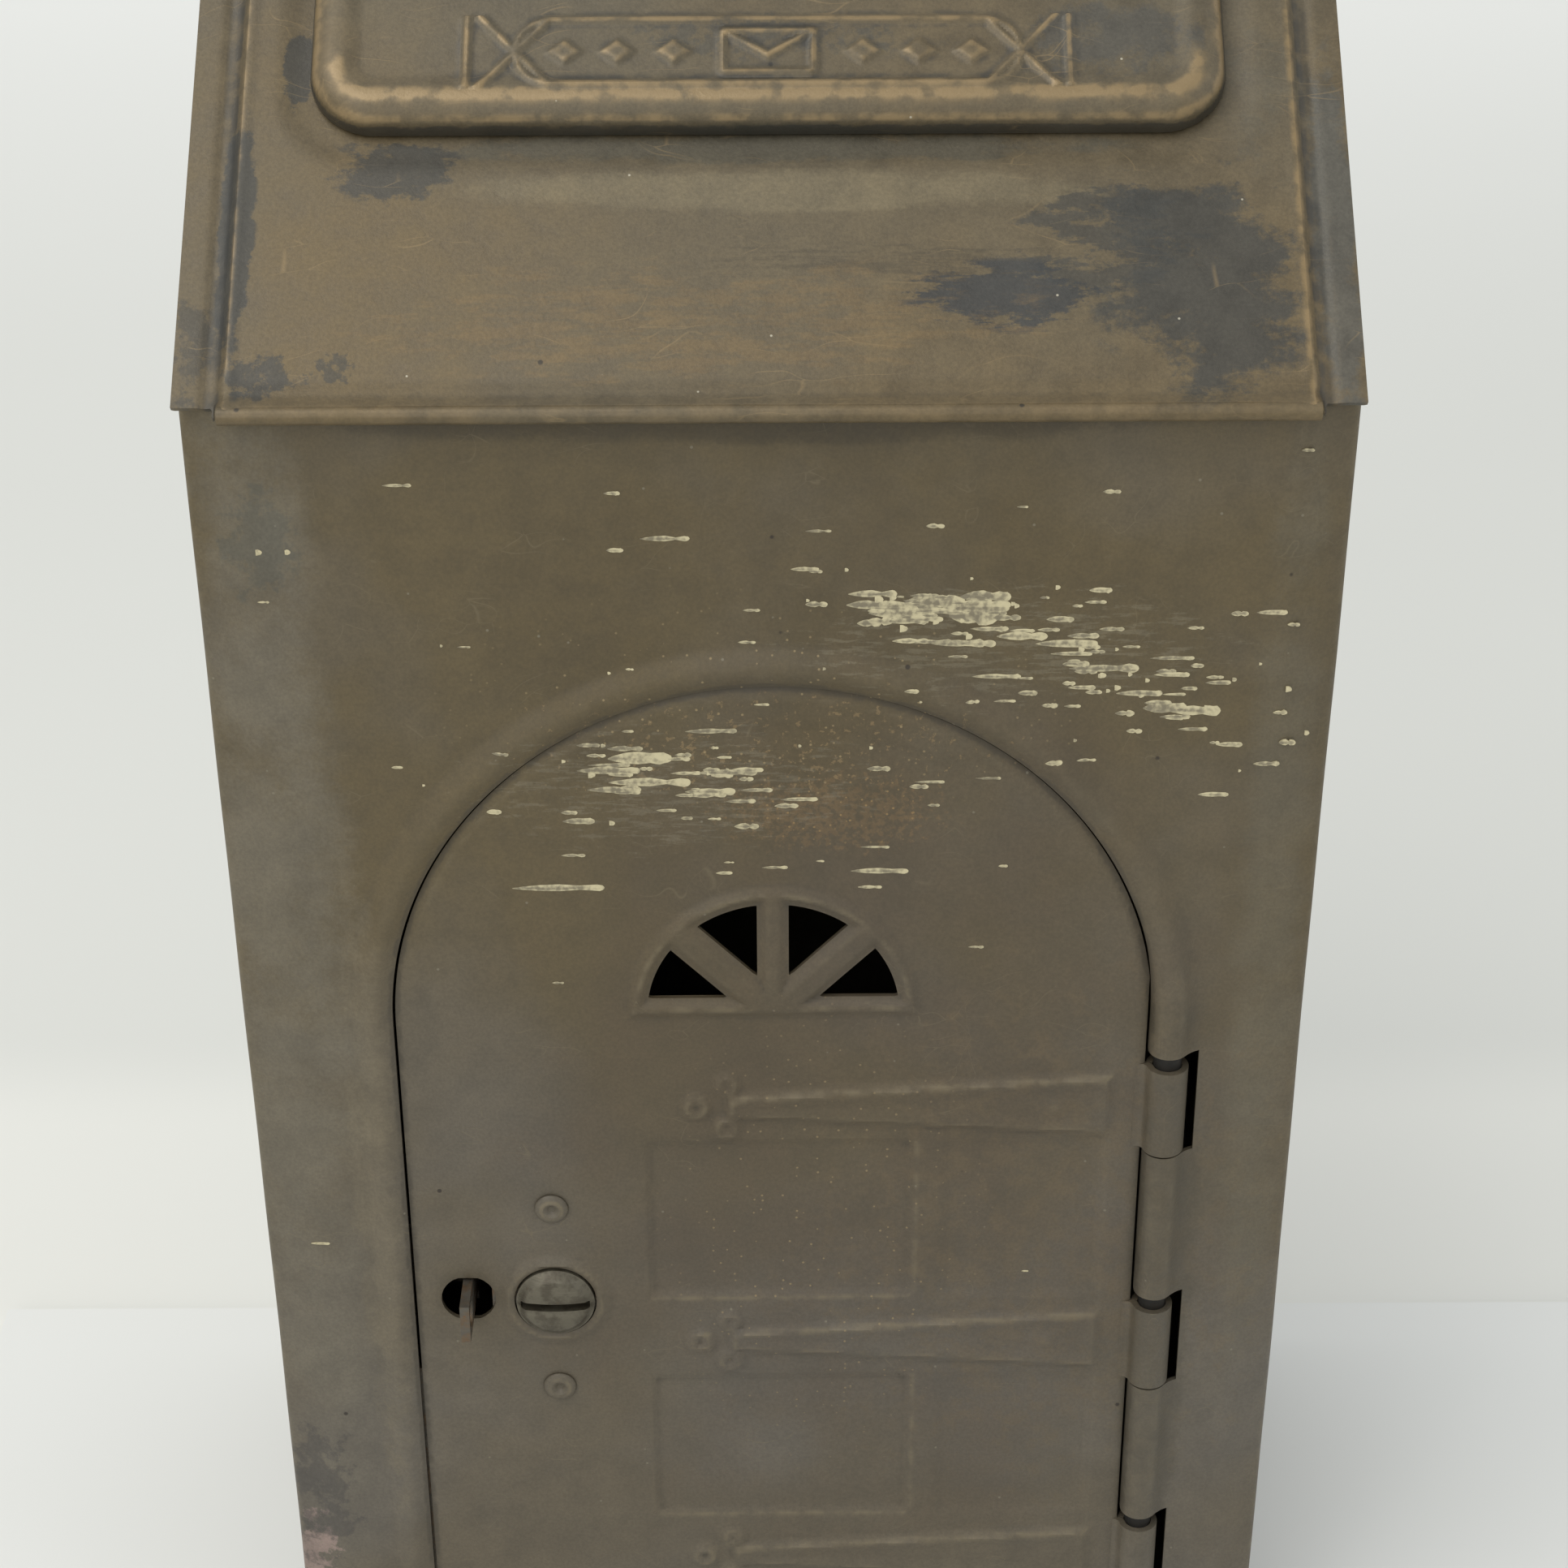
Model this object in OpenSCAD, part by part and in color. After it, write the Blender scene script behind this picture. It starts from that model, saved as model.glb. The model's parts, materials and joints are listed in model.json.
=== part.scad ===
// Wall mounted mailbox in pressed steel sheet: a box with an arched, barrel hinged door,
// a sloped hood with a letter flap, a key lock and a staple for a padlock.
// X runs to the right as seen from the front, Y runs towards the wall and Z runs up.
// The origin is the centre of the four wall screw holes, on the face that meets the wall.

/* [Box] */
// Width of the box over its side walls
body_w = 162; // [150:1:200]
// Depth of the box from the wall to its front
body_d = 98; // [81:1:130]
// Height of the front, from the foot to the eave
front_h = 243; // [230:1:300]
// Pitch of the roof above level, in degrees
roof_pitch = 39.7; // [32:0.1:46]
// Thickness of the steel sheet
sheet_t = 0.8; // [0.6:0.1:1]
// Width of the margin that bends back at each front corner
margin_w = 7.5; // [5:0.5:12]
// How far each margin bends back
margin_back = 2; // [1:0.5:4]
// Width of the flange under each side of the hood
roof_flange_w = 6; // [4:1:10]
// Depth of the back plate's side flanges
back_flange = 10; // [8:1:16]
// Height of the bottom pan's upturned edge
pan_h = 8; // [5:1:10]

/* [Wall screws] */
// Spacing of the wall screw holes from side to side
screw_dx = 100; // [60:1:120]
// Spacing of the wall screw holes up the back
screw_dz = 250; // [200:1:260]
// Height of the lower screw holes above the foot
screw_low = 25; // [15:1:40]
// Radius of the wall screw holes
screw_r = 2.5; // [2:0.1:3]

/* [Hood] */
// How far the hood passes each side wall
hood_lap = 1.5; // [0.5:0.5:4]
// Width of the low strip along each side of the hood
strip_w = 7.2; // [7:0.1:12]
// How far the middle field stands above the side strips
field_rise = 1.2; // [1:0.1:2]
// How far the eave passes the front, down the slope
eave_lap = 2.2; // [1:0.1:5]
// Radius of the rolled hem at the eave
hem_r = 1.3; // [1:0.1:2]
// Depth of the hood's rear flange
hood_flange = 8; // [5:1:12]

/* [Letter flap] */
// Width of the flap
flap_w = 131; // [100:1:134]
// Length of the flap from its lower edge to its hinge axis
flap_len = 62; // [50:1:66]
// Distance from the flap's hinge axis to the top of the roof, along the slope
flap_top_gap = 23; // [19:1:30]
// Height of the flap's rim
flap_rise = 4; // [3.8:0.1:6]
// Radius of the flap's lower corners
flap_corner_r = 9.5; // [5:0.5:14]
// Gap between the flap's rim and the hood
flap_seat_gap = 0.3; // [0.2:0.1:0.6]
// How far the flap laps over the letter slot at each side and below
slot_lap = 7; // [5:0.5:10]
// Distance from the letter slot's upper edge to the hinge axis
slot_top_gap = 12; // [8:1:16]
// Radius of the flap's hinge pin
flap_pin_r = 1.1; // [0.9:0.1:1.2]
// Wall of the flap's hinge knuckles
flap_knuckle_wall = 0.83; // [0.7:0.01:0.9]
// Length of the flap's own knuckle
flap_knuckle_w = 60; // [40:1:80]
// Length of each knuckle on the fixed hinge leaf
leaf_knuckle_w = 20; // [10:1:22]

/* [Door] */
// Width of the door, and twice the radius of its arch
door_w = 116; // [100:1:118]
// Height of the door from its foot to its crown
door_h = 186; // [176:1:196]
// Height of the door's foot above the foot of the box
door_up = 13; // [10:1:16]
// Gap around the door
door_gap = 0.4; // [0.3:0.1:0.8]
// Radius of the half round bead that frames the door
bead_r = 2.7; // [2:0.1:3]
// Flat strip between the door opening and the bead
bead_land = 0.2; // [0.1:0.1:0.5]
// How far the door's embossed straps stand out
strap_rise = 0.9; // [0.5:0.1:1.5]

/* [Door hinge] */
// Radius of the door's hinge pin
pin_r = 2.2; // [1.6:0.1:2.4]
// Clearance around the pin inside the door's knuckles
pin_fit = 0.06; // [0.03:0.01:0.1]
// Wall of the fixed barrel
barrel_wall = 0.86; // [0.7:0.01:1]
// Wall of the door's knuckles
knuckle_wall = 1.04; // [0.8:0.01:1.1]
// Height of each door knuckle
knuckle_h = 15.5; // [10:0.5:18]
// Gap above and below each door knuckle
knuckle_gap = 0.4; // [0.3:0.1:0.8]
// Distance from the arch's spring line down to the first knuckle
knuckle_drop = 7.7; // [5:0.1:10]
// Distance from the last knuckle down to the door's foot
knuckle_foot = 12.3; // [8:0.1:16]
// Width of the slot beside each door knuckle
hinge_slot_w = 1.5; // [1:0.1:2]

/* [Fanlight] */
// Outer radius of the fanlight
fan_r = 19.3; // [16:0.1:24]
// Height of the fanlight's centre above the arch's spring line
fan_up = 2; // [0:0.5:8]
// Height of the sill across the fanlight, above its centre
fan_sill = 2.8; // [2:0.1:4]
// Width of the upright spoke
fan_spoke_w = 4.8; // [4:0.1:6]
// Width of the slanted spokes
fan_slant_w = 5.8; // [4:0.1:7]

/* [Lock] */
// Distance from the door's free edge to the lock's axis
lock_in = 22.5; // [22:0.5:26]
// Height of the lock's axis above the door's foot
lock_up = 75; // [60:1:84]
// Radius of the plug's head
plug_r = 6.35; // [6:0.05:6.8]
// Width of the shoulder between the plug's head and its body
plug_shoulder = 0.75; // [0.5:0.05:1]
// How far the plug's head stands out of the door
plug_proud = 2.5; // [1.5:0.1:3.5]
// Running clearance around the plug's body
plug_fit = 0.06; // [0.03:0.01:0.1]
// Metal left between each end of the key slot and the plug's rim
key_land = 0.45; // [0.3:0.05:1.5]
// Height of the key slot
key_h = 1.5; // [1:0.1:2]
// Wall of the lock case
case_wall = 1.2; // [1:0.1:1.4]
// Half the height of the lock case
case_half_h = 12.5; // [12:0.1:13]
// Distance from the lock's axis to the case's bolt end
case_left = 10.3; // [10.1:0.1:10.6]
// Distance from the lock's axis to the case's other end
case_right = 11; // [10.8:0.1:12]
// Depth of the lock case behind the door
case_depth = 11.6; // [11.4:0.1:13]
// Spacing of the two lock rivets
lock_rivet_dz = 36; // [34:0.5:42]
// Radius of the rivet shanks
rivet_r = 1.4; // [1:0.1:1.6]
// Radius of the rivet heads
rivet_head_r = 3; // [2.4:0.1:3.4]
// Height of the rivet heads
rivet_head_h = 1; // [0.8:0.1:1.4]
// Travel of the bolt, over a quarter turn of the plug
bolt_travel = 7; // [5:0.1:7]
// Thickness of the bolt
bolt_t = 2; // [1.6:0.1:2.2]
// Half the height of the bolt's nose
bolt_half_h = 3; // [2:0.1:3.2]
// Sliding clearance around the bolt
bolt_fit = 0.2; // [0.1:0.05:0.3]
// Radius of the crank pin that drives the bolt
crank_pin_r = 1.1; // [0.8:0.1:1.1]
// Clearance each side of the crank pin, for its swing across the slot
crank_fit = 0.25; // [0.2:0.01:0.3]

/* [Padlock staple] */
// Distance from the door's free edge to the middle of the staple
staple_in = 8.4; // [8:0.1:9]
// Thickness of the staple
staple_t = 1.5; // [1.2:0.1:2]
// Height of the staple where it passes the door
staple_h = 7; // [6.4:0.1:7.4]
// How far the staple stands out of the door
staple_proud = 6.5; // [6:0.1:10]
// Radius of the padlock eye
eye_r = 2.1; // [1.5:0.1:2.2]
// Width of the hole for the staple in the door
staple_hole_w = 8.8; // [8:0.1:9.4]
// Height of the hole for the staple in the door
staple_hole_h = 8.2; // [7.8:0.1:8.6]

/* [Hidden] */
$fn = 64;
eps = 0.01;
big = 400;

paint = "#6c5d44";
hood_paint = "#766647";
dark_steel = "#55524c";
steel = "#8d8b86";
brass = "#a58b57";

// Heights and the roof
foot_z = -screw_dz / 2 - screw_low;
eave_z = foot_z + front_h;
roof_len = body_d / cos(roof_pitch);
top_z = eave_z + body_d * tan(roof_pitch);
field_top = sheet_t + field_rise;
field_half = body_w / 2 + hood_lap - strip_w;

// Door and its hinge
door_z = foot_z + door_up;
arch_r = door_w / 2;
spring_z = door_z + door_h - arch_r;
bead_line = arch_r + door_gap + bead_land + bead_r;
barrel_r = pin_r + barrel_wall;
knuckle_r = pin_r + pin_fit + knuckle_wall;
barrel_inset = 0.16; // how far the barrel reaches past the arch's radius
hinge_x = arch_r + barrel_r - barrel_inset;
door_edge_x = hinge_x - barrel_r - door_gap;
door_edge_top = spring_z + sqrt(arch_r * arch_r - door_edge_x * door_edge_x);
knuckle_top = spring_z - knuckle_drop;
knuckle_low = door_z + knuckle_foot;
knuckle_n = 3;
knuckle_pitch = (knuckle_top - knuckle_low - knuckle_h) / (knuckle_n - 1);
knuckle_z = [for (i = [0:knuckle_n - 1]) knuckle_top - knuckle_h / 2 - i * knuckle_pitch];

// Flap and its hinge
flap_hinge_s = roof_len - flap_top_gap;
flap_low_s = flap_hinge_s - flap_len;
flap_top = field_top + flap_seat_gap + flap_rise;
flap_knuckle_r = flap_pin_r + pin_fit + flap_knuckle_wall;
flap_axis_z = flap_top - flap_knuckle_r + 0.2;
flap_edge_gap = 3;
slot_w = flap_w - 2 * slot_lap;
slot_low_s = flap_low_s + slot_lap;
slot_high_s = flap_hinge_s - slot_top_gap;
leaf_half = flap_knuckle_w / 2 + knuckle_gap + leaf_knuckle_w;

// Lock: depths are measured inwards from the front face of the door
lock_x = -arch_r + lock_in;
lock_z = door_z + lock_up;
plug_body_r = plug_r - plug_shoulder;
key_w = 2 * (plug_r - key_land);
key_wall = 1.1; // metal left in the plug's body beside the deep part of the key slot
key_floor = 2.2; // metal left behind it
key_deep_w = 2 * (plug_body_r - key_wall);
boss_end = sheet_t + case_wall + 6;
driver_t = 1.2;
driver_start = boss_end + bolt_fit;
driver_end = driver_start + driver_t;
bolt_start = driver_end + 0.3;
case_end = sheet_t + case_depth;
crank_r = bolt_travel / 2 / sin(45);
boss_r = plug_body_r + 1.8;
driver_r = crank_r + crank_pin_r + 0.85;
bolt_body_left = -case_left + case_wall + bolt_travel + bolt_fit;
bolt_body_right = case_right - case_wall - 1.8;
bolt_body_top = crank_r + crank_pin_r + 1.5;
bolt_body_low = -5;
cover_t = 1;
cover_screw_x = [-case_left + 3.3, case_right - 3];
cover_screw_z = -case_half_h + 2.7;
post_x = -case_left + 2.9;
post_z = case_half_h - case_wall - 1.9;
post_r = 1.1;
spring_t = 0.3;

// Staple
staple_x = -arch_r + staple_in;
staple_back = case_end;
staple_foot_z = 6;
margin_x = body_w / 2 - margin_w;

// Rivets along the back edges of the side walls
back_rivet_n = 4;
back_rivet_head_r = 2.4;
back_rivet_low = foot_z + pan_h + 20;
back_rivet_step = (eave_z - back_rivet_low) / (back_rivet_n - 1);

// Sheet outlines: a line of points and the same line moved to its left by a thickness
function unit(v) = v / norm(v);
function left_of(v) = [-v[1], v[0]];
function side(p, i) = left_of(unit(p[i + 1] - p[i]));
function mitre(p, i, t) =
    i == 0 ? p[0] + t * side(p, 0) :
    i == len(p) - 1 ? p[i] + t * side(p, i - 1) :
    let (a = side(p, i - 1), b = side(p, i)) p[i] + t * (a + b) / (1 + a * b);
function moved(p, t) = [for (i = [0:len(p) - 1]) mitre(p, i, t)];
function sheet(p, t) = concat(p, [for (i = [len(p) - 1:-1:0]) mitre(p, i, t)]);

// The side walls and the front, seen from above, from the back left to the back right
function wall_line(back_y) = [
    [-body_w / 2, back_y], [-body_w / 2, margin_back - body_d], [-margin_x, -body_d],
    [margin_x, -body_d], [body_w / 2, margin_back - body_d], [body_w / 2, back_y]
];

// Height of the roof line over a place on Y, raised square to the roof
function roof_z(y, raised) = eave_z + (y + body_d) * tan(roof_pitch) + raised / cos(roof_pitch);

// Places: the roof (X, up the slope, outwards), the front face (X, up, outwards), the lock
module on_roof() translate([0, -body_d, eave_z]) rotate([roof_pitch, 0, 0]) children();
module on_front() translate([0, -body_d, 0]) rotate([90, 0, 0]) children();
module on_lock() translate([lock_x, 0, lock_z]) children();

// A flat outline of the front, cut from depth a to depth b behind the front face
module front_cut(a, b) on_front() translate([0, 0, -b]) linear_extrude(b - a) children();

// A round bar along Y, from depth a to depth b behind the front face
module depth_bar(r, a, b) translate([0, b - body_d, 0]) rotate([90, 0, 0]) cylinder(r = r, h = b - a);

// A square block behind the front face: x and z ranges, and the depths a to b
module depth_block(x, z, a, b) translate([x[0], a - body_d, z[0]]) cube([x[1] - x[0], b - a, z[1] - z[0]]);

// A round bar along X from x0 to x1
module cross_bar(r, x0, x1) translate([x0, 0, 0]) rotate([0, 90, 0]) cylinder(r = r, h = x1 - x0);

// All that lies under the roof line, raised square to the roof
module under_roof(raised) rotate([90, 0, 90]) translate([0, 0, -big / 2]) linear_extrude(big)
    polygon([
        [1, foot_z - 1], [-body_d - 9, foot_z - 1],
        [-body_d - 9, roof_z(-body_d - 9, raised)], [1, roof_z(1, raised)]
    ]);

// A low round rivet head that stands on Z = 0
module dome(r, h) {
    ball_r = (r * r + h * h) / (2 * h);
    intersection() {
        translate([0, 0, h - ball_r]) sphere(r = ball_r);
        cylinder(r = r + 1, h = h + 1);
    }
}

// The arched outline of the door, grown by a gap
module arch(grow) {
    translate([0, spring_z]) circle(r = arch_r + grow, $fn = 128);
    translate([-arch_r - grow, door_z - grow]) square([door_w + 2 * grow, spring_z - door_z + grow]);
}

// The line of the bead: down the left side and over the arch, as a round bar
module bead_bar(r) translate([0, -body_d, 0]) {
    translate([0, 0, spring_z]) rotate([90, 0, 0]) rotate_extrude(angle = 180, $fn = 128)
        translate([bead_line, 0]) circle(r = r);
    translate([-bead_line, 0, door_z]) cylinder(r = r, h = spring_z - door_z);
    translate([-bead_line, 0, door_z]) sphere(r = r);
}

module hinge_bar(r, z0, z1) translate([hinge_x, -body_d, z0]) cylinder(r = r, h = z1 - z0);

// Room for the door's knuckles, with the narrow slot that shows beside each
module knuckle_rooms() {
    right = hinge_x + knuckle_r + hinge_slot_w;
    for (z = knuckle_z) {
        translate([door_edge_x - 1, -body_d - 6, z - knuckle_h / 2 - knuckle_gap])
            cube([right - door_edge_x + 1, 12, knuckle_h + 2 * knuckle_gap]);
    }
}

// The shanks of the rivets that hold the side walls to the back plate
module back_rivet_places() for (i = [0:back_rivet_n - 1]) {
    translate([0, -back_flange / 2 - sheet_t, back_rivet_low + i * back_rivet_step]) children();
}

module back_rivet_shanks(r) back_rivet_places() {
    cross_bar(r, -body_w / 2 - eps, 2 * sheet_t - body_w / 2 + eps);
    cross_bar(r, body_w / 2 - 2 * sheet_t - eps, body_w / 2 + eps);
}

// ---- Box ----

module front_shell() color(paint) difference() {
    union() {
        difference() {
            intersection() {
                translate([0, 0, foot_z]) linear_extrude(top_z - foot_z)
                    polygon(sheet(wall_line(0), sheet_t));
                under_roof(0);
            }
            front_cut(-1, 3) arch(door_gap);
        }
        on_roof() for (end = [0, 1]) mirror([end, 0, 0])
            translate([body_w / 2 - sheet_t - roof_flange_w, 7, -sheet_t])
                cube([roof_flange_w + sheet_t / 2, roof_len - back_flange - 12, sheet_t]);
        intersection() {
            bead_bar(bead_r);
            translate([-big / 2, sheet_t - body_d - 10, -big / 2]) cube([big, 10, big]);
        }
        hinge_bar(barrel_r, door_z, spring_z);
    }
    bead_bar(bead_r - sheet_t);
    hinge_bar(pin_r, door_z - 1, spring_z - 1);
    knuckle_rooms();
    back_rivet_shanks(rivet_r);
}

module back_plate() color(paint) {
    flange_line = [
        [body_w / 2 - sheet_t, -back_flange], [body_w / 2 - sheet_t, 0],
        [sheet_t - body_w / 2, 0], [sheet_t - body_w / 2, -back_flange]
    ];
    flange_z = foot_z + pan_h + 1;
    difference() {
        union() {
            intersection() {
                translate([sheet_t - body_w / 2, -sheet_t, foot_z])
                    cube([body_w - 2 * sheet_t, sheet_t, front_h + big / 2]);
                union() {
                    under_roof(0);
                    intersection() {
                        under_roof(field_top);
                        cube([2 * field_half - 4, big, 2 * big], center = true);
                    }
                }
            }
            intersection() {
                translate([0, 0, flange_z]) linear_extrude(top_z - flange_z)
                    polygon(sheet(flange_line, sheet_t));
                under_roof(-sheet_t - 0.2);
            }
        }
        for (x = [-1, 1], z = [-1, 1]) translate([x * screw_dx / 2, 1, z * screw_dz / 2])
            rotate([90, 0, 0]) cylinder(r = screw_r, h = 3);
        back_rivet_shanks(rivet_r);
    }
}

module bottom_pan() color(paint) difference() {
    translate([0, 0, foot_z]) linear_extrude(pan_h) polygon(moved(wall_line(-sheet_t), sheet_t));
    translate([0, 0, foot_z + sheet_t]) linear_extrude(pan_h)
        polygon(moved(wall_line(-2 * sheet_t), 2 * sheet_t));
}

module hood() color(hood_paint) {
    half = body_w / 2 + hood_lap;
    step = 1;
    section = [
        [-half, 0], [-field_half - step, 0], [-field_half, field_rise],
        [field_half, field_rise], [field_half + step, 0], [half, 0]
    ];
    difference() {
        union() {
            on_roof() translate([0, roof_len + 2, 0]) rotate([90, 0, 0])
                linear_extrude(roof_len + 2 + eave_lap) polygon(sheet(section, sheet_t));
            translate([-field_half + 4, -2 * sheet_t, roof_z(-2 * sheet_t, field_rise) - hood_flange])
                cube([2 * field_half - 8, sheet_t, hood_flange + sheet_t]);
        }
        translate([-big / 2, -sheet_t, 0]) cube([big, 10, big]);
        on_roof() {
            for (end = [0, 1]) mirror([end, 0, 0]) translate([field_half + step + 0.4, -eave_lap - 1, -2])
                cube([strip_w + 2, eave_lap + 0.5, 6]);
            translate([0, 0, -3]) linear_extrude(8) letter_slot();
        }
    }
    on_roof() translate([0, -eave_lap, field_rise + sheet_t / 2])
        cross_bar(hem_r, -field_half - 0.5, field_half + 0.5);
}

// The letter slot in the hood, with round lower corners
module letter_slot() {
    corner = flap_corner_r - 3;
    translate([-slot_w / 2, slot_low_s + corner]) square([slot_w, slot_high_s - slot_low_s - corner]);
    translate([corner - slot_w / 2, slot_low_s]) square([slot_w - 2 * corner, corner + 1]);
    for (x = [-1, 1]) translate([x * (slot_w / 2 - corner), slot_low_s + corner]) circle(r = corner);
}

module back_rivets() color(steel) back_rivet_places() for (end = [0, 1]) mirror([end, 0, 0]) {
    cross_bar(rivet_r, body_w / 2 - 2 * sheet_t - 0.5, body_w / 2 + 0.3);
    translate([body_w / 2, 0, 0]) rotate([0, 90, 0]) dome(back_rivet_head_r, rivet_head_h);
    translate([body_w / 2 - 2 * sheet_t, 0, 0]) rotate([0, -90, 0]) dome(back_rivet_head_r, rivet_head_h);
}

// ---- Letter flap ----

// Plan of the flap with round lower corners; inset makes the room inside its rim
module flap_plan(inset, top) {
    r = flap_corner_r - inset;
    half = flap_w / 2 - inset;
    low = flap_low_s + inset;
    translate([-half, low + r]) square([2 * half, top - low - r]);
    translate([r - half, low]) square([2 * half - 2 * r, r + 1]);
    for (x = [-1, 1]) translate([x * (half - r), low + r]) circle(r = r);
}

module on_flap_axis() on_roof() translate([0, flap_hinge_s, flap_axis_z]) children();

module letter_flap() color(hood_paint) difference() {
    plate_end = flap_hinge_s - flap_edge_gap;
    union() {
        on_roof() difference() {
            translate([0, 0, flap_top - flap_rise]) linear_extrude(flap_rise) flap_plan(0, plate_end);
            translate([0, 0, flap_top - flap_rise - 1]) linear_extrude(flap_rise + 1 - sheet_t)
                flap_plan(sheet_t, plate_end + 2);
        }
        on_flap_axis() cross_bar(flap_knuckle_r, -flap_knuckle_w / 2, flap_knuckle_w / 2);
        on_roof() translate([-flap_knuckle_w / 2, plate_end - 2, flap_top - sheet_t])
            cube([flap_knuckle_w, flap_edge_gap + 2, sheet_t]);
    }
    on_flap_axis() cross_bar(flap_pin_r + pin_fit, -flap_w, flap_w);
}

module flap_hinge_leaf() color(hood_paint) difference() {
    union() {
        on_roof() translate([-leaf_half, flap_hinge_s + 2.6, field_top]) cube([2 * leaf_half, 9, sheet_t]);
        for (end = [0, 1]) mirror([end, 0, 0]) {
            on_flap_axis() cross_bar(flap_knuckle_r, leaf_half - leaf_knuckle_w, leaf_half);
            on_roof() translate([leaf_half - leaf_knuckle_w, flap_hinge_s - 0.5, field_top])
                cube([leaf_knuckle_w, 4, sheet_t + 0.2]);
        }
    }
    on_flap_axis() cross_bar(flap_pin_r, -flap_w, flap_w);
}

module flap_hinge_pin() color(steel) on_flap_axis() cross_bar(flap_pin_r, -leaf_half - 0.6, leaf_half + 0.6);

// ---- Door ----

// The four openings of the fanlight
module fanlight() translate([0, spring_z + fan_up]) difference() {
    circle(r = fan_r, $fn = 96);
    translate([-fan_r - 1, -fan_r - 1]) square([2 * fan_r + 2, fan_r + 1 + fan_sill]);
    translate([-fan_spoke_w / 2, 0]) square([fan_spoke_w, fan_r + 1]);
    for (turn = [45, -45]) rotate(turn) translate([-fan_slant_w / 2, 0]) square([fan_slant_w, fan_r + 1]);
}

// One embossed strap: it tapers from the hinge side and ends in three round lobes
module strap() {
    root = door_edge_x - 4.5; // short of the knuckles
    tip = -6; // left of the door's middle
    polygon([[root, -6], [root, 6], [tip, 2.6], [tip, -2.6]]);
    for (lobe = [[-9, 0], [-5, 4], [-5, -4]]) translate(lobe) circle(r = 2.8);
}

// The hole for the staple: round ended, flat above and below
module staple_hole() translate([staple_x, lock_z]) intersection() {
    circle(r = staple_hole_w / 2);
    square([staple_hole_w + 2, staple_hole_h], center = true);
}

module lock_rivet_places() on_lock() for (z = [-1, 1]) translate([0, 0, z * lock_rivet_dz / 2]) children();

module door() color(paint) difference() {
    union() {
        front_cut(0, sheet_t) difference() {
            arch(0);
            translate([door_edge_x, door_z - 1]) square([10, door_edge_top + 2 - door_z]);
        }
        for (z = knuckle_z) {
            front_cut(-strap_rise, sheet_t / 2) translate([0, z]) strap();
            hinge_bar(knuckle_r, z - knuckle_h / 2, z + knuckle_h / 2);
            depth_block([door_edge_x - 1, hinge_x - pin_r],
                [z - knuckle_h / 2, z + knuckle_h / 2], 0, sheet_t);
        }
        on_lock() depth_bar(plug_r + 2.2, -0.8, sheet_t / 2);
    }
    for (z = knuckle_z) hinge_bar(pin_r + pin_fit, z - knuckle_h, z + knuckle_h);
    front_cut(-2, 2) fanlight();
    front_cut(-2, 2) staple_hole();
    on_lock() depth_bar(plug_r + 0.3, -3, 3);
    lock_rivet_places() depth_bar(rivet_r, -3, 3);
}

module door_hinge_pin() color(steel) hinge_bar(pin_r, door_z + 0.5, spring_z - 1);

// A jogged strip behind the free edge of the door, which stops the closed door
module door_stop() color(dark_steel) {
    back = sheet_t - body_d;
    line = [
        [-margin_x + 0.5, back], [-bead_line - bead_r - 1, back],
        [-bead_line - bead_r, back + 0.3], [-arch_r + 5, back + 0.3]
    ];
    translate([0, 0, door_z + 3]) linear_extrude(lock_z - door_z - 18) polygon(sheet(line, sheet_t));
}

// ---- Padlock staple ----

// A bent strip: a foot behind the front, an arm behind the lock's level and a blade out through the door
module staple_strip() {
    foot_x = -margin_x + 0.5;
    riser_x = -bead_line - bead_r - 0.6;
    line = [
        [foot_x, sheet_t - body_d], [riser_x, sheet_t - body_d], [riser_x, staple_back - body_d],
        [staple_x - staple_t / 2, staple_back - body_d], [staple_x - staple_t / 2, -body_d - staple_proud]
    ];
    polygon(concat(line, [
        [staple_x + staple_t / 2, -body_d - staple_proud],
        [staple_x + staple_t / 2, staple_back + staple_t - body_d],
        [riser_x - staple_t, staple_back + staple_t - body_d],
        [riser_x - staple_t, sheet_t + staple_t - body_d], [foot_x, sheet_t + staple_t - body_d]
    ]));
}

module padlock_staple() color(dark_steel) difference() {
    translate([0, 0, lock_z - staple_foot_z]) linear_extrude(2 * staple_foot_z) staple_strip();
    for (z = [-1, 1]) translate([staple_x, -body_d, lock_z + z * (staple_h / 2 + 5)])
        cube([staple_t + 4, 2 * staple_proud + 3, 10], center = true);
    translate([0, eye_r + 0.7 - body_d - staple_proud, lock_z]) cross_bar(eye_r, staple_x - 3, staple_x + 3);
    depth_block([staple_x - 3, staple_x + 3], [lock_z - bolt_half_h - 0.4, lock_z + bolt_half_h + 0.4],
        bolt_start - 0.3, bolt_start + bolt_t + 0.3);
}

// ---- Lock ----

module cover_screw_places() on_lock() for (x = cover_screw_x) translate([x, 0, cover_screw_z]) children();

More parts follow.
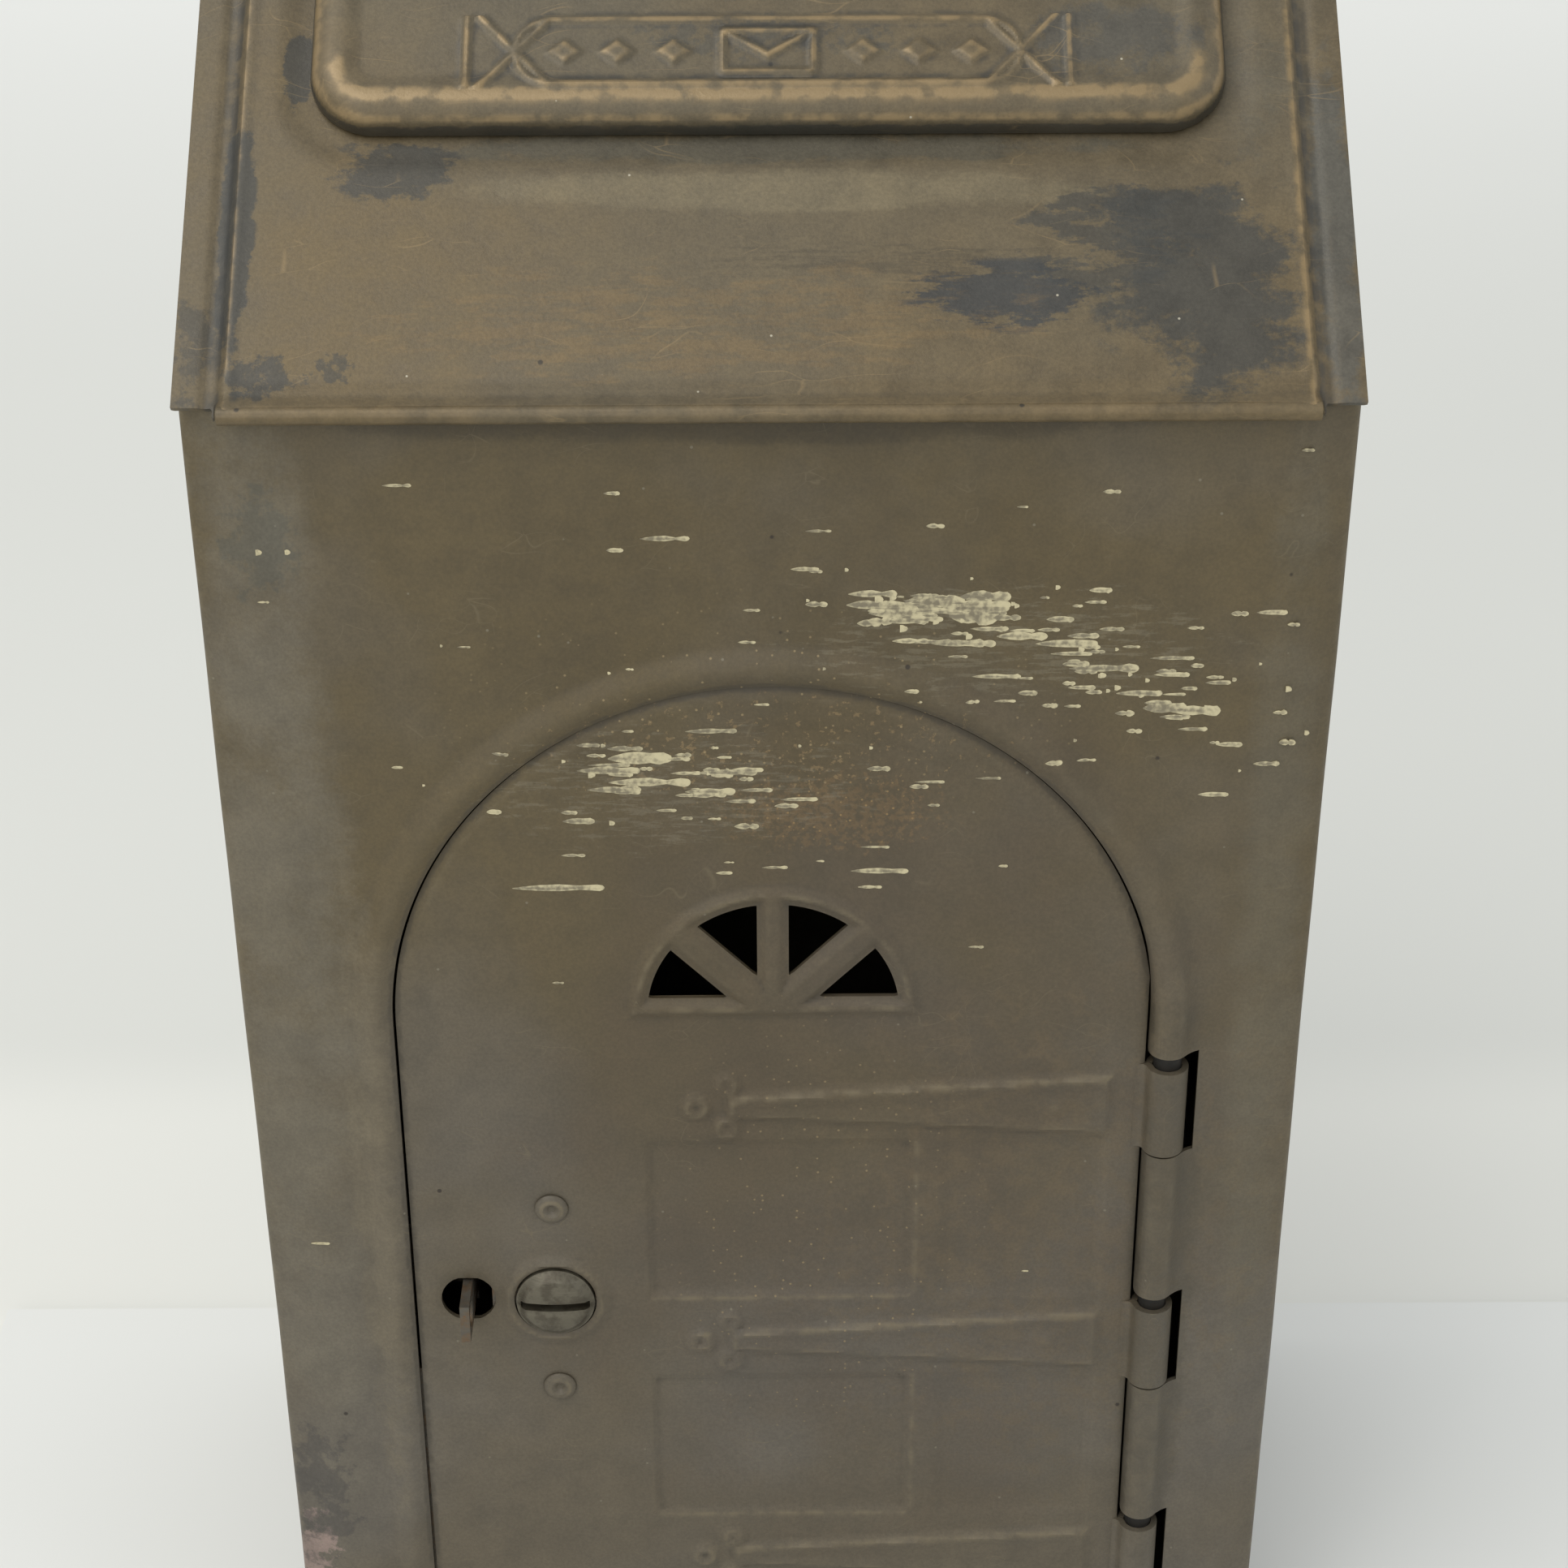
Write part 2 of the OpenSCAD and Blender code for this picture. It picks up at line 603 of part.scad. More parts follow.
module lock_case() color(steel) difference() {
    ear = lock_rivet_dz / 2 + rivet_head_r + 1.5;
    union() {
        on_lock() difference() {
            depth_block([-case_left, case_right], [-case_half_h, case_half_h], sheet_t, case_end);
            depth_block([case_wall - case_left, case_right - case_wall],
                [case_wall - case_half_h, case_half_h - case_wall],
                sheet_t + case_wall, case_end + 1);
        }
        on_lock() depth_block([-6, 6], [-ear, ear], sheet_t, sheet_t + case_wall);
        on_lock() depth_bar(boss_r, sheet_t + 0.2, boss_end);
        cover_screw_places() depth_bar(1.9, sheet_t + 0.2, case_end);
    }
    on_lock() depth_bar(plug_body_r + plug_fit, 0, boss_end + 1);
    on_lock() depth_block([-case_left - 1, 0], [-bolt_half_h - bolt_fit, bolt_half_h + bolt_fit],
        bolt_start - bolt_fit, bolt_start + bolt_t + bolt_fit);
    lock_rivet_places() depth_bar(rivet_r, 0, 4);
    cover_screw_places() depth_bar(0.9, sheet_t + case_wall + 1, case_end + 1);
}

module lock_cover() color(steel) difference() {
    on_lock() depth_block([-case_left, case_right], [-case_half_h, case_half_h],
        case_end, case_end + cover_t);
    cover_screw_places() depth_bar(0.9, case_end - 1, case_end + cover_t + 1);
}

module cover_screws() color(brass) cover_screw_places() difference() {
    union() {
        depth_bar(0.9, sheet_t + case_wall + 1.5, case_end + cover_t + 0.3);
        translate([0, case_end + cover_t - body_d, 0]) rotate([-90, 0, 0]) dome(1.9, 1);
    }
    translate([0, case_end + cover_t + 0.8 - body_d, 0]) cube([5, 0.7, 0.5], center = true);
}

module lock_rivets() color(paint) lock_rivet_places() {
    depth_bar(rivet_r, -0.3, sheet_t + case_wall + 0.3);
    difference() {
        translate([0, -body_d, 0]) rotate([90, 0, 0]) dome(rivet_head_r, rivet_head_h);
        translate([0, -body_d - rivet_head_h - 0.4, 0]) sphere(r = 1);
    }
    translate([0, sheet_t + case_wall - body_d, 0]) rotate([-90, 0, 0])
        dome(rivet_head_r - 0.6, rivet_head_h);
}

module spring_post() color(steel) on_lock() translate([post_x, 0, post_z])
    depth_bar(post_r, sheet_t + case_wall, case_end);

// A leaf that is wrapped once around its post and bears down over the bolt
module detent_spring() color(steel) on_lock() {
    wrap_r = post_r + spring_t;
    leaf = [
        [post_x, post_z + post_r], [-3, post_z + post_r - 0.2],
        [4, bolt_body_top + 0.25], [bolt_body_right, bolt_body_top + 0.8]
    ];
    difference() {
        union() {
            translate([post_x, 0, post_z]) depth_bar(wrap_r, bolt_start, bolt_start + bolt_t);
            translate([0, bolt_start + bolt_t - body_d, 0]) rotate([90, 0, 0])
                linear_extrude(bolt_t) polygon(sheet(leaf, spring_t));
        }
        translate([post_x, 0, post_z]) depth_bar(post_r, 0, case_end + 2);
    }
}

module lock_plug() color(brass) on_lock() difference() {
    union() {
        depth_bar(plug_r, -plug_proud, sheet_t - 0.15);
        depth_bar(plug_body_r, 0, driver_start);
    }
    depth_block([-key_w / 2, key_w / 2], [-key_h / 2, key_h / 2], -plug_proud - 1, 0.2);
    depth_block([-key_deep_w / 2, key_deep_w / 2], [-key_h / 2, key_h / 2],
        -plug_proud - 1, driver_start - key_floor);
    depth_block([-1.5, 1.5], [-1.5, 1.5], driver_start - 1, driver_start + 1);
}

module plug_driver() color(brass) on_lock() {
    depth_bar(driver_r, driver_start, driver_end);
    depth_block([-1.5, 1.5], [-1.5, 1.5], driver_start - 1, driver_start + 0.5);
    translate([crank_r * cos(45), 0, crank_r * sin(45)])
        depth_bar(crank_pin_r, driver_end - 0.5, bolt_start + bolt_t);
}

module lock_bolt() color(steel) on_lock() {
    slot_r = crank_pin_r + crank_fit;
    slot_x = bolt_travel / 2;
    slot_z = [crank_r * sin(45), crank_r];
    difference() {
        union() {
            depth_block([bolt_body_left, bolt_body_right], [bolt_body_low, bolt_body_top],
                bolt_start, bolt_start + bolt_t);
            depth_block([-case_left - 0.5, bolt_body_left + 1], [-bolt_half_h, bolt_half_h],
                bolt_start, bolt_start + bolt_t);
        }
        for (z = slot_z) translate([slot_x, 0, z]) depth_bar(slot_r, bolt_start - 1, bolt_start + bolt_t + 1);
        depth_block([slot_x - slot_r, slot_x + slot_r], slot_z, bolt_start - 1, bolt_start + bolt_t + 1);
    }
}

front_shell();
back_plate();
bottom_pan();
hood();
back_rivets();
flap_hinge_leaf();
flap_hinge_pin();
letter_flap();
door();
door_hinge_pin();
door_stop();
padlock_staple();
lock_case();
lock_cover();
cover_screws();
lock_rivets();
spring_post();
detent_spring();
lock_plug();
plug_driver();
lock_bolt();
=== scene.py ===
# Wall mounted mailbox: the looks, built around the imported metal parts.
# Sizes in the dictionaries are millimetres; they become metres when a mesh is made.
import json
import math

import bpy
import numpy as np
from mathutils import Matrix, Vector


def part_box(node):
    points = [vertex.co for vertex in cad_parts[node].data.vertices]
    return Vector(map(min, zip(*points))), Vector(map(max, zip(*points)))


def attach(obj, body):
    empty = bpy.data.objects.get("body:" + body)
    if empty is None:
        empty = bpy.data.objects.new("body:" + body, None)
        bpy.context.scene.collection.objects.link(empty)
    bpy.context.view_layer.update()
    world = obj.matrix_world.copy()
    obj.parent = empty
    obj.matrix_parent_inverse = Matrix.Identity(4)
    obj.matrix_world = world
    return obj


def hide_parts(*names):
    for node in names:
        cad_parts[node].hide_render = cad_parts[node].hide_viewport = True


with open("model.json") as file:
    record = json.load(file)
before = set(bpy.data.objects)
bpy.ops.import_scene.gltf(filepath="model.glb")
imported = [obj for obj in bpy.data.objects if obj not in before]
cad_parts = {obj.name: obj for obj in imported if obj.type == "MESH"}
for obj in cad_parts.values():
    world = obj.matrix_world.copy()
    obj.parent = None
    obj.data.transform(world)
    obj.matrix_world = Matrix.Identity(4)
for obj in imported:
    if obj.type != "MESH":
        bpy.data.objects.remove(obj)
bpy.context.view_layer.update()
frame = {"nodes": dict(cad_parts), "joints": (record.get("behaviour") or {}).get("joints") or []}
print("frame loaded")

mm = 0.001
sharpAngle = math.radians(32)


def nodeBox(name):
    low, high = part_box(name)
    return np.array(low) / mm, np.array(high) / mm


def jointPlace(name):
    joint = next(j for j in frame["joints"] if j["name"] == name)
    return np.array(joint["pos_m"]) / mm


# Places taken from the frame
doorLow = nodeBox("door")[0]
shellLow, shellHigh = nodeBox("front_shell")
hoodHigh = nodeBox("hood")[1]
hingePlace = jointPlace("door_hinge")
plugPlace = jointPlace("plug_turn")

box = {
    "frontY": hingePlace[1],
    "footZ": shellLow[2],
    "eaveZ": shellLow[2] + 243,
    "halfWidth": shellHigh[0],
    "sheet": 0.8,
    "marginWidth": 7.5,
    "marginBack": 2,
    "pitch": math.radians(39.7),
    "foldRadius": 1.2,
    "flare": 1.2,
}
opening = {
    "arch": 58,
    "gap": 0.4,
    "springZ": -9,
    "footZ": doorLow[2],
    "edgeX": 57.44,
    "beadLine": 61.3,
    "beadRadius": 2.7,
    "beadRise": 0.48,
}
hinge = {
    "x": hingePlace[0],
    "barrel": 3.06,
    "knuckle": 3.3,
    "pin": 2.2,
    "wall": 1.0,
    "height": 15.5,
    "pitch": 46.25,
    "topZ": -24.45,
    "count": 3,
    "roomGap": 0.4,
    "roomAbove": 2.6,
}
knuckleZs = [hinge["topZ"] - k * hinge["pitch"] for k in range(hinge["count"])]


# Small helpers for numbers
def soft(value):
    share = np.clip(value, 0, 1)
    return share * share * (3 - 2 * share)


def hump(value, width):
    return np.exp(-(value / width) ** 2)


def blockDepth(x, z, xs, zs, corner=1.0):  # how far inside a round cornered block
    outX = np.abs(x - (xs[0] + xs[1]) / 2) - (xs[1] - xs[0]) / 2 + corner
    outZ = np.abs(z - (zs[0] + zs[1]) / 2) - (zs[1] - zs[0]) / 2 + corner
    outside = np.hypot(np.maximum(outX, 0), np.maximum(outZ, 0))
    return corner - outside - np.minimum(np.maximum(outX, outZ), 0)


def gridLines(*runs):  # runs of (start, end, step)
    lines = []
    for start, end, step in runs:
        count = max(1, round((end - start) / step))
        lines += list(np.linspace(start, end, count + 1)[:-1])
    return np.array(lines + [runs[-1][1]])


def dents(x, z, size, amount, seed=0.0):  # slow waves, as hand pressed sheet has
    first = np.sin(x / size + seed) * np.sin(z / (size * 1.27) + 2 * seed)
    second = np.sin((x + z) / (size * 0.61) + 3 * seed) * np.sin((x - z) / (size * 0.83) - seed)
    return amount * (0.6 * first + 0.4 * second)


# Sheet metal: a flat pattern is given a pressed height and a thickness
def clippedGrid(us, vs, depth):  # points and faces of a grid, cut where depth is nought
    gridU, gridV = np.meshgrid(us, vs, indexing="ij")
    inside = depth(gridU, gridV)
    inside = np.where(np.abs(inside) < 1e-4, 1e-4, inside)
    keep = inside > 0
    index = np.full(keep.shape, -1)
    index[keep] = np.arange(keep.sum())
    points = [tuple(p) for p in np.column_stack([gridU[keep], gridV[keep]])]
    full = keep[:-1, :-1] & keep[1:, :-1] & keep[1:, 1:] & keep[:-1, 1:]
    some = (keep[:-1, :-1] | keep[1:, :-1] | keep[1:, 1:] | keep[:-1, 1:]) & ~full
    i, j = np.nonzero(full)
    faces = np.column_stack([index[i, j], index[i + 1, j], index[i + 1, j + 1], index[i, j + 1]]).tolist()
    crossings = {}

    def crossing(a, b):
        key = (a, b) if a < b else (b, a)
        if key not in crossings:
            share = inside[a] / (inside[a] - inside[b])
            crossings[key] = len(points)
            points.append((gridU[a] + share * (gridU[b] - gridU[a]),
                           gridV[a] + share * (gridV[b] - gridV[a])))
        return crossings[key]

    for i, j in zip(*np.nonzero(some)):
        ring = [(i, j), (i + 1, j), (i + 1, j + 1), (i, j + 1)]
        face = []
        for k in range(4):
            here, following = ring[k], ring[(k + 1) % 4]
            if keep[here]:
                face.append(int(index[here]))
            if keep[here] != keep[following]:
                face.append(crossing(here, following))
        if len(face) > 2:
            faces.append(face)
    return np.array(points), faces


def rimEdges(faces, count):  # the edges that only one face has
    edges = np.array([(f[k], f[(k + 1) % len(f)]) for f in faces for k in range(len(f))])
    code = edges[:, 0] * count + edges[:, 1]
    back = edges[:, 1] * count + edges[:, 0]
    return edges[~np.isin(code, back)]


# a closed sheet from a flat pattern, flat behind if back is given; ridge says how far a place stands
# above what is around it, which the finish rubs or dirties; creases add to it, among them painted highlights
def pressed(pattern, height, place, thick=0.8, back=None, creases=None):
    points, faces = pattern
    u, v = points[:, 0], points[:, 1]
    count = len(points)
    front = height(u, v)
    rear = front - thick if back is None else np.full(count, float(back))
    reach = 1.3
    around = [height(u + reach * math.cos(a), v + reach * math.sin(a)) for a in np.arange(8) * math.pi / 4]
    ridge = front - np.mean(around, axis=0)
    if creases is not None:
        ridge = ridge + creases(u, v)
    rim = rimEdges(faces, count)
    rimFaces = np.column_stack([rim[:, 1], rim[:, 0], rim[:, 0] + count, rim[:, 1] + count]).tolist()
    rearFaces = [[k + count for k in reversed(f)] for f in faces]
    solid = np.vstack([place(u, v, front), place(u, v, rear)])
    return {"points": solid, "faces": faces + rearFaces + rimFaces, "ridge": np.tile(ridge, 2)}


# a closed bar: one outline carried along a straight line between two ends
def swept(outline, place, ends):
    outline = np.array(outline, float)
    count = len(outline)
    points = np.vstack([place(outline[:, 0], outline[:, 1], np.full(count, e)) for e in ends])
    faces = [[k, (k + 1) % count, (k + 1) % count + count, k + count] for k in range(count)]
    half = count // 2
    for k in range(half - 1):
        near = [k, k + 1, count - 2 - k, count - 1 - k]
        faces.append(near[::-1])
        faces.append([n + count for n in near])
    return {"points": points, "faces": faces, "ridge": np.zeros(len(points))}


# a closed turned part: (radius, depth) points from one end of the axis to the other
def turned(profile, place, steps=48):
    angles = np.arange(steps) * 2 * math.pi / steps
    points, faces, rings = [], [], []
    for radius, depth in profile:
        if radius < 1e-6:
            rings.append([len(points)] * steps)
            points.append(place(0.0, 0.0, depth))
        else:
            rings.append(list(range(len(points), len(points) + steps)))
            points += [place(radius * math.cos(a), radius * math.sin(a), depth) for a in angles]
    for low, high in zip(rings[:-1], rings[1:]):
        for k in range(steps):
            n = (k + 1) % steps
            face = [low[k], low[n], high[n], high[k]]
            face = [f for m, f in enumerate(face) if f != face[m - 1]]
            faces.append(face)
    return {"points": np.array(points), "faces": faces, "ridge": np.zeros(len(points))}


def addPiece(name, mesh, body, replaced):
    piece = bpy.data.objects.new(name, mesh)
    bpy.context.scene.collection.objects.link(piece)
    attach(piece, body)
    if replaced:
        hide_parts(*replaced)
    print("made", name, len(mesh.polygons), "faces")


# joins parts into one mesh; a part may carry its own finish number and thinness
def makePiece(name, parts, materials, body, replaced):
    points, faces, finish, ridge, thin = [], [], [], [], []
    base = 0
    for part in parts:
        points.append(part["points"])
        faces += [[k + base for k in f] for f in part["faces"]]
        finish += [part.get("finish", 0)] * len(part["faces"])
        ridge.append(part["ridge"])
        thin.append(part.get("thin", np.zeros(len(part["points"]))))
        base += len(part["points"])
    mesh = bpy.data.meshes.new(name)
    mesh.from_pydata((np.vstack(points) * mm).tolist(), [], faces)
    for label, values in (("ridge", ridge), ("thin", thin)):
        stored = mesh.attributes.new(label, "FLOAT", "POINT")
        stored.data.foreach_set("value", np.concatenate(values).astype(np.float32))
    mesh.polygons.foreach_set("material_index", finish)
    for material in materials:
        mesh.materials.append(material)
    mesh.shade_smooth()
    mesh.set_sharp_from_angle(angle=sharpAngle)
    mesh.validate()
    mesh.update()
    addPiece(name, mesh, body, replaced)


# Places: from a flat pattern (u, v, out) to the part's own frame
def onFront(u, v, out):
    return np.stack([u, box["frontY"] - out, v], axis=-1)


def onRoof(u, v, out):
    lean, rise = math.cos(box["pitch"]), math.sin(box["pitch"])
    y = box["frontY"] + v * lean - out * rise
    return np.stack([u, y, box["eaveZ"] + v * rise + out * lean], axis=-1)


def roofLine(y):
    return box["eaveZ"] + (y - box["frontY"]) * math.tan(box["pitch"])


marginX = box["halfWidth"] - box["marginWidth"]
marginLength = math.hypot(box["marginWidth"], box["marginBack"])
cornerQ = marginX + marginLength
cornerY = box["frontY"] + box["marginBack"]
wallEndQ = cornerQ - cornerY

# The walls' plan as a path from the middle of the front, with its corners rounded by averaging
foldStep = 0.1
overrun = 4
foldQ = np.arange(-overrun, wallEndQ + overrun, foldStep)
bends = [-overrun, marginX, cornerQ, wallEndQ + overrun]
foldX = np.interp(foldQ, bends, [-overrun, marginX, box["halfWidth"], box["halfWidth"]])
foldY = np.interp(foldQ, bends, [box["frontY"], box["frontY"], cornerY, overrun])
foldWindow = np.ones(2 * round(box["foldRadius"] / foldStep) + 1)
foldWindow /= foldWindow.sum()
roundX = np.convolve(np.pad(foldX, len(foldWindow) // 2, "edge"), foldWindow, "valid")
roundY = np.convolve(np.pad(foldY, len(foldWindow) // 2, "edge"), foldWindow, "valid")


def onWalls(q, z, out):  # the front and both side walls as one unfolded strip
    a, side = np.abs(q), np.sign(q)
    step = 0.2
    x, y = np.interp(a, foldQ, roundX), np.interp(a, foldQ, roundY)
    before, after = np.maximum(a - step, -overrun), a + step
    runX = np.interp(after, foldQ, roundX) - np.interp(before, foldQ, roundX)
    runY = np.interp(after, foldQ, roundY) - np.interp(before, foldQ, roundY)
    length = np.hypot(runX, runY)
    spread = box["flare"] * np.clip((z - box["footZ"]) / (box["eaveZ"] - box["footZ"]), 0, 1)
    spread = spread * np.clip((a - marginX) / marginLength, 0, 1) * np.clip(y / box["frontY"], 0, 1)
    return np.stack([side * (x + spread + out * runY / length), y - out * runX / length, z], axis=-1)


def wallY(q):
    return np.interp(np.abs(q), foldQ, roundY)


# Shader helpers
def paint(red, green, blue):  # screen colour to a linear one
    shares = [c / 255 for c in (red, green, blue)]
    values = [c / 12.92 if c < 0.04045 else ((c + 0.055) / 1.055) ** 2.4 for c in shares]
    return (*values, 1.0)


def addStep(tree, kind, values=None, **settings):
    made = tree.nodes.new(kind)
    for key, value in settings.items():
        setattr(made, key, value)
    for key, value in (values or {}).items():
        if isinstance(value, bpy.types.NodeSocket):
            tree.links.new(value, made.inputs[key])
        else:
            made.inputs[key].default_value = value
    return made


def addNode(tree, kind, values=None, **settings):
    return addStep(tree, "ShaderNode" + kind, values, **settings)


def noise(tree, vector, scale, detail=2.0, roughness=0.5):
    values = {"Vector": vector, "Scale": scale, "Detail": detail, "Roughness": roughness}
    return addNode(tree, "TexNoise", values).outputs["Fac"]


def calc(tree, operation, first, second=0.0):
    return addNode(tree, "Math", {0: first, 1: second}, operation=operation).outputs[0]


def vectorCalc(tree, operation, first, second):
    return addNode(tree, "VectorMath", {0: first, 1: second}, operation=operation).outputs[0]


def ramp(tree, value, low, high, start=0.0, end=1.0):
    values = {"Value": value, "From Min": low, "From Max": high, "To Min": start, "To Max": end}
    return addNode(tree, "MapRange", values, interpolation_type="SMOOTHSTEP").outputs["Result"]


def blend(tree, share, first, second, mode="MIX"):
    made = addNode(tree, "Mix", {0: share, 6: first, 7: second}, data_type="RGBA", blend_type=mode)
    return made.outputs[2]


def stretch(tree, vector, scale):
    return addNode(tree, "Mapping", {"Vector": vector, "Scale": scale}).outputs["Vector"]


def newGroup(name, inputs, outputs, treeKind="ShaderNodeTree"):
    tree = bpy.data.node_groups.new(name, treeKind)
    for label, kind, value in inputs:
        socket = tree.interface.new_socket(name=label, in_out="INPUT", socket_type="NodeSocket" + kind)
        if value is not None:
            socket.default_value = value
    for label, kind in outputs:
        tree.interface.new_socket(name=label, in_out="OUTPUT", socket_type="NodeSocket" + kind)
    return tree, tree.nodes.new("NodeGroupInput"), tree.nodes.new("NodeGroupOutput")


def useGroup(tree, group, values):
    return addNode(tree, "Group", values, node_tree=group).outputs


def patchGroup():  # soft edged patches of worn or stained paint
    inputs = [("Vector", "Vector", None), ("Scale", "Float", 0.05), ("Detail", "Float", 5.0),
              ("Low", "Float", 0.45), ("High", "Float", 0.6)]
    tree, given, out = newGroup("patches", inputs, [("Mask", "Float")])
    value = noise(tree, given.outputs["Vector"], given.outputs["Scale"], given.outputs["Detail"], 0.62)
    mask = ramp(tree, value, given.outputs["Low"], given.outputs["High"])
    tree.links.new(mask, out.inputs["Mask"])
    return tree


def spotGroup():  # one soft oval place
    inputs = [("Vector", "Vector", None), ("Centre", "Vector", (0, 0, 0)), ("Reach", "Vector", (1, 1, 1)),
              ("Softness", "Float", 0.6)]
    tree, given, out = newGroup("spot", inputs, [("Mask", "Float")])
    moved = vectorCalc(tree, "SUBTRACT", given.outputs["Vector"], given.outputs["Centre"])
    scaled = vectorCalc(tree, "DIVIDE", moved, given.outputs["Reach"])
    length = addNode(tree, "VectorMath", {0: scaled}, operation="LENGTH").outputs["Value"]
    mask = ramp(tree, length, 1.0, calc(tree, "SUBTRACT", 1.0, given.outputs["Softness"]))
    tree.links.new(mask, out.inputs["Mask"])
    return tree


def speckGroup():  # small round specks, fewer as Amount falls
    inputs = [("Vector", "Vector", None), ("Scale", "Float", 0.3), ("Size", "Float", 0.2),
              ("Amount", "Float", 0.3)]
    tree, given, out = newGroup("specks", inputs, [("Mask", "Float")])
    cells = addNode(tree, "TexVoronoi", {"Vector": given.outputs["Vector"], "Scale": given.outputs["Scale"]})
    size = given.outputs["Size"]
    dot = ramp(tree, cells.outputs["Distance"], size, calc(tree, "MULTIPLY", size, 0.5))
    pick = addNode(tree, "SeparateColor", {"Color": cells.outputs["Color"]}).outputs["Red"]
    chosen = calc(tree, "LESS_THAN", pick, given.outputs["Amount"])
    tree.links.new(calc(tree, "MULTIPLY", dot, chosen), out.inputs["Mask"])
    return tree


def wearAndHighlightGroup():  # ridges rubbed bright, with painted highlights where creases add them, and hollows filled with dirt, from how the sheet is pressed
    inputs = [("Vector", "Vector", None), ("Ridge", "Float", 0.0), ("Gain", "Float", 1.0)]
    tree, given, out = newGroup("pressWearAndHighlight", inputs, [("WearAndHighlightMask", "Float"), ("Grime", "Float")])
    breakup = noise(tree, given.outputs["Vector"], 0.35, 6.0)
    level = calc(tree, "MULTIPLY", given.outputs["Ridge"], given.outputs["Gain"])
    loose = calc(tree, "MULTIPLY", level, ramp(tree, breakup, 0.3, 0.65, 0.35, 1.3))
    tree.links.new(ramp(tree, loose, 0.03, 0.42), out.inputs["WearAndHighlightMask"])
    tree.links.new(ramp(tree, calc(tree, "MULTIPLY", loose, -1.0), 0.02, 0.3), out.inputs["Grime"])
    return tree


def scratchGroup():  # thin crooked lines
    inputs = [("Vector", "Vector", None), ("Scale", "Vector", (0.02, 1, 0.12)), ("Width", "Float", 0.012)]
    tree, given, out = newGroup("scratches", inputs, [("Mask", "Float")])
    drifting = addNode(tree, "TexNoise", {"Vector": given.outputs["Vector"], "Scale": 0.04})
    bent = vectorCalc(tree, "MULTIPLY", drifting.outputs["Color"], (14, 14, 14))
    moved = vectorCalc(tree, "ADD", given.outputs["Vector"], bent)
    scaled = vectorCalc(tree, "MULTIPLY", moved, given.outputs["Scale"])
    cells = addNode(tree, "TexVoronoi", {"Vector": scaled, "Scale": 1.0}, feature="DISTANCE_TO_EDGE")
    line = ramp(tree, cells.outputs["Distance"], given.outputs["Width"], 0.0)
    broken = noise(tree, given.outputs["Vector"], 0.09, 3.0)
    tree.links.new(calc(tree, "MULTIPLY", line, ramp(tree, broken, 0.52, 0.66)), out.inputs["Mask"])
    return tree


groups = {"patches": patchGroup(), "spot": spotGroup(), "specks": speckGroup(), "wearAndHighlightMasks": wearAndHighlightGroup(),
          "scratches": scratchGroup()}


def newMaterial(name, roughness, metallic):
    material = bpy.data.materials.new(name)
    material.use_nodes = True
    tree = material.node_tree
    tree.nodes.clear()
    shader = addNode(tree, "BsdfPrincipled", {"Roughness": roughness, "Metallic": metallic})
    addNode(tree, "OutputMaterial", {"Surface": shader.outputs["BSDF"]})
    coords = addNode(tree, "TexCoord").outputs["Object"]
    place = stretch(tree, coords, (1 / mm, 1 / mm, 1 / mm))
    return material, tree, shader, place


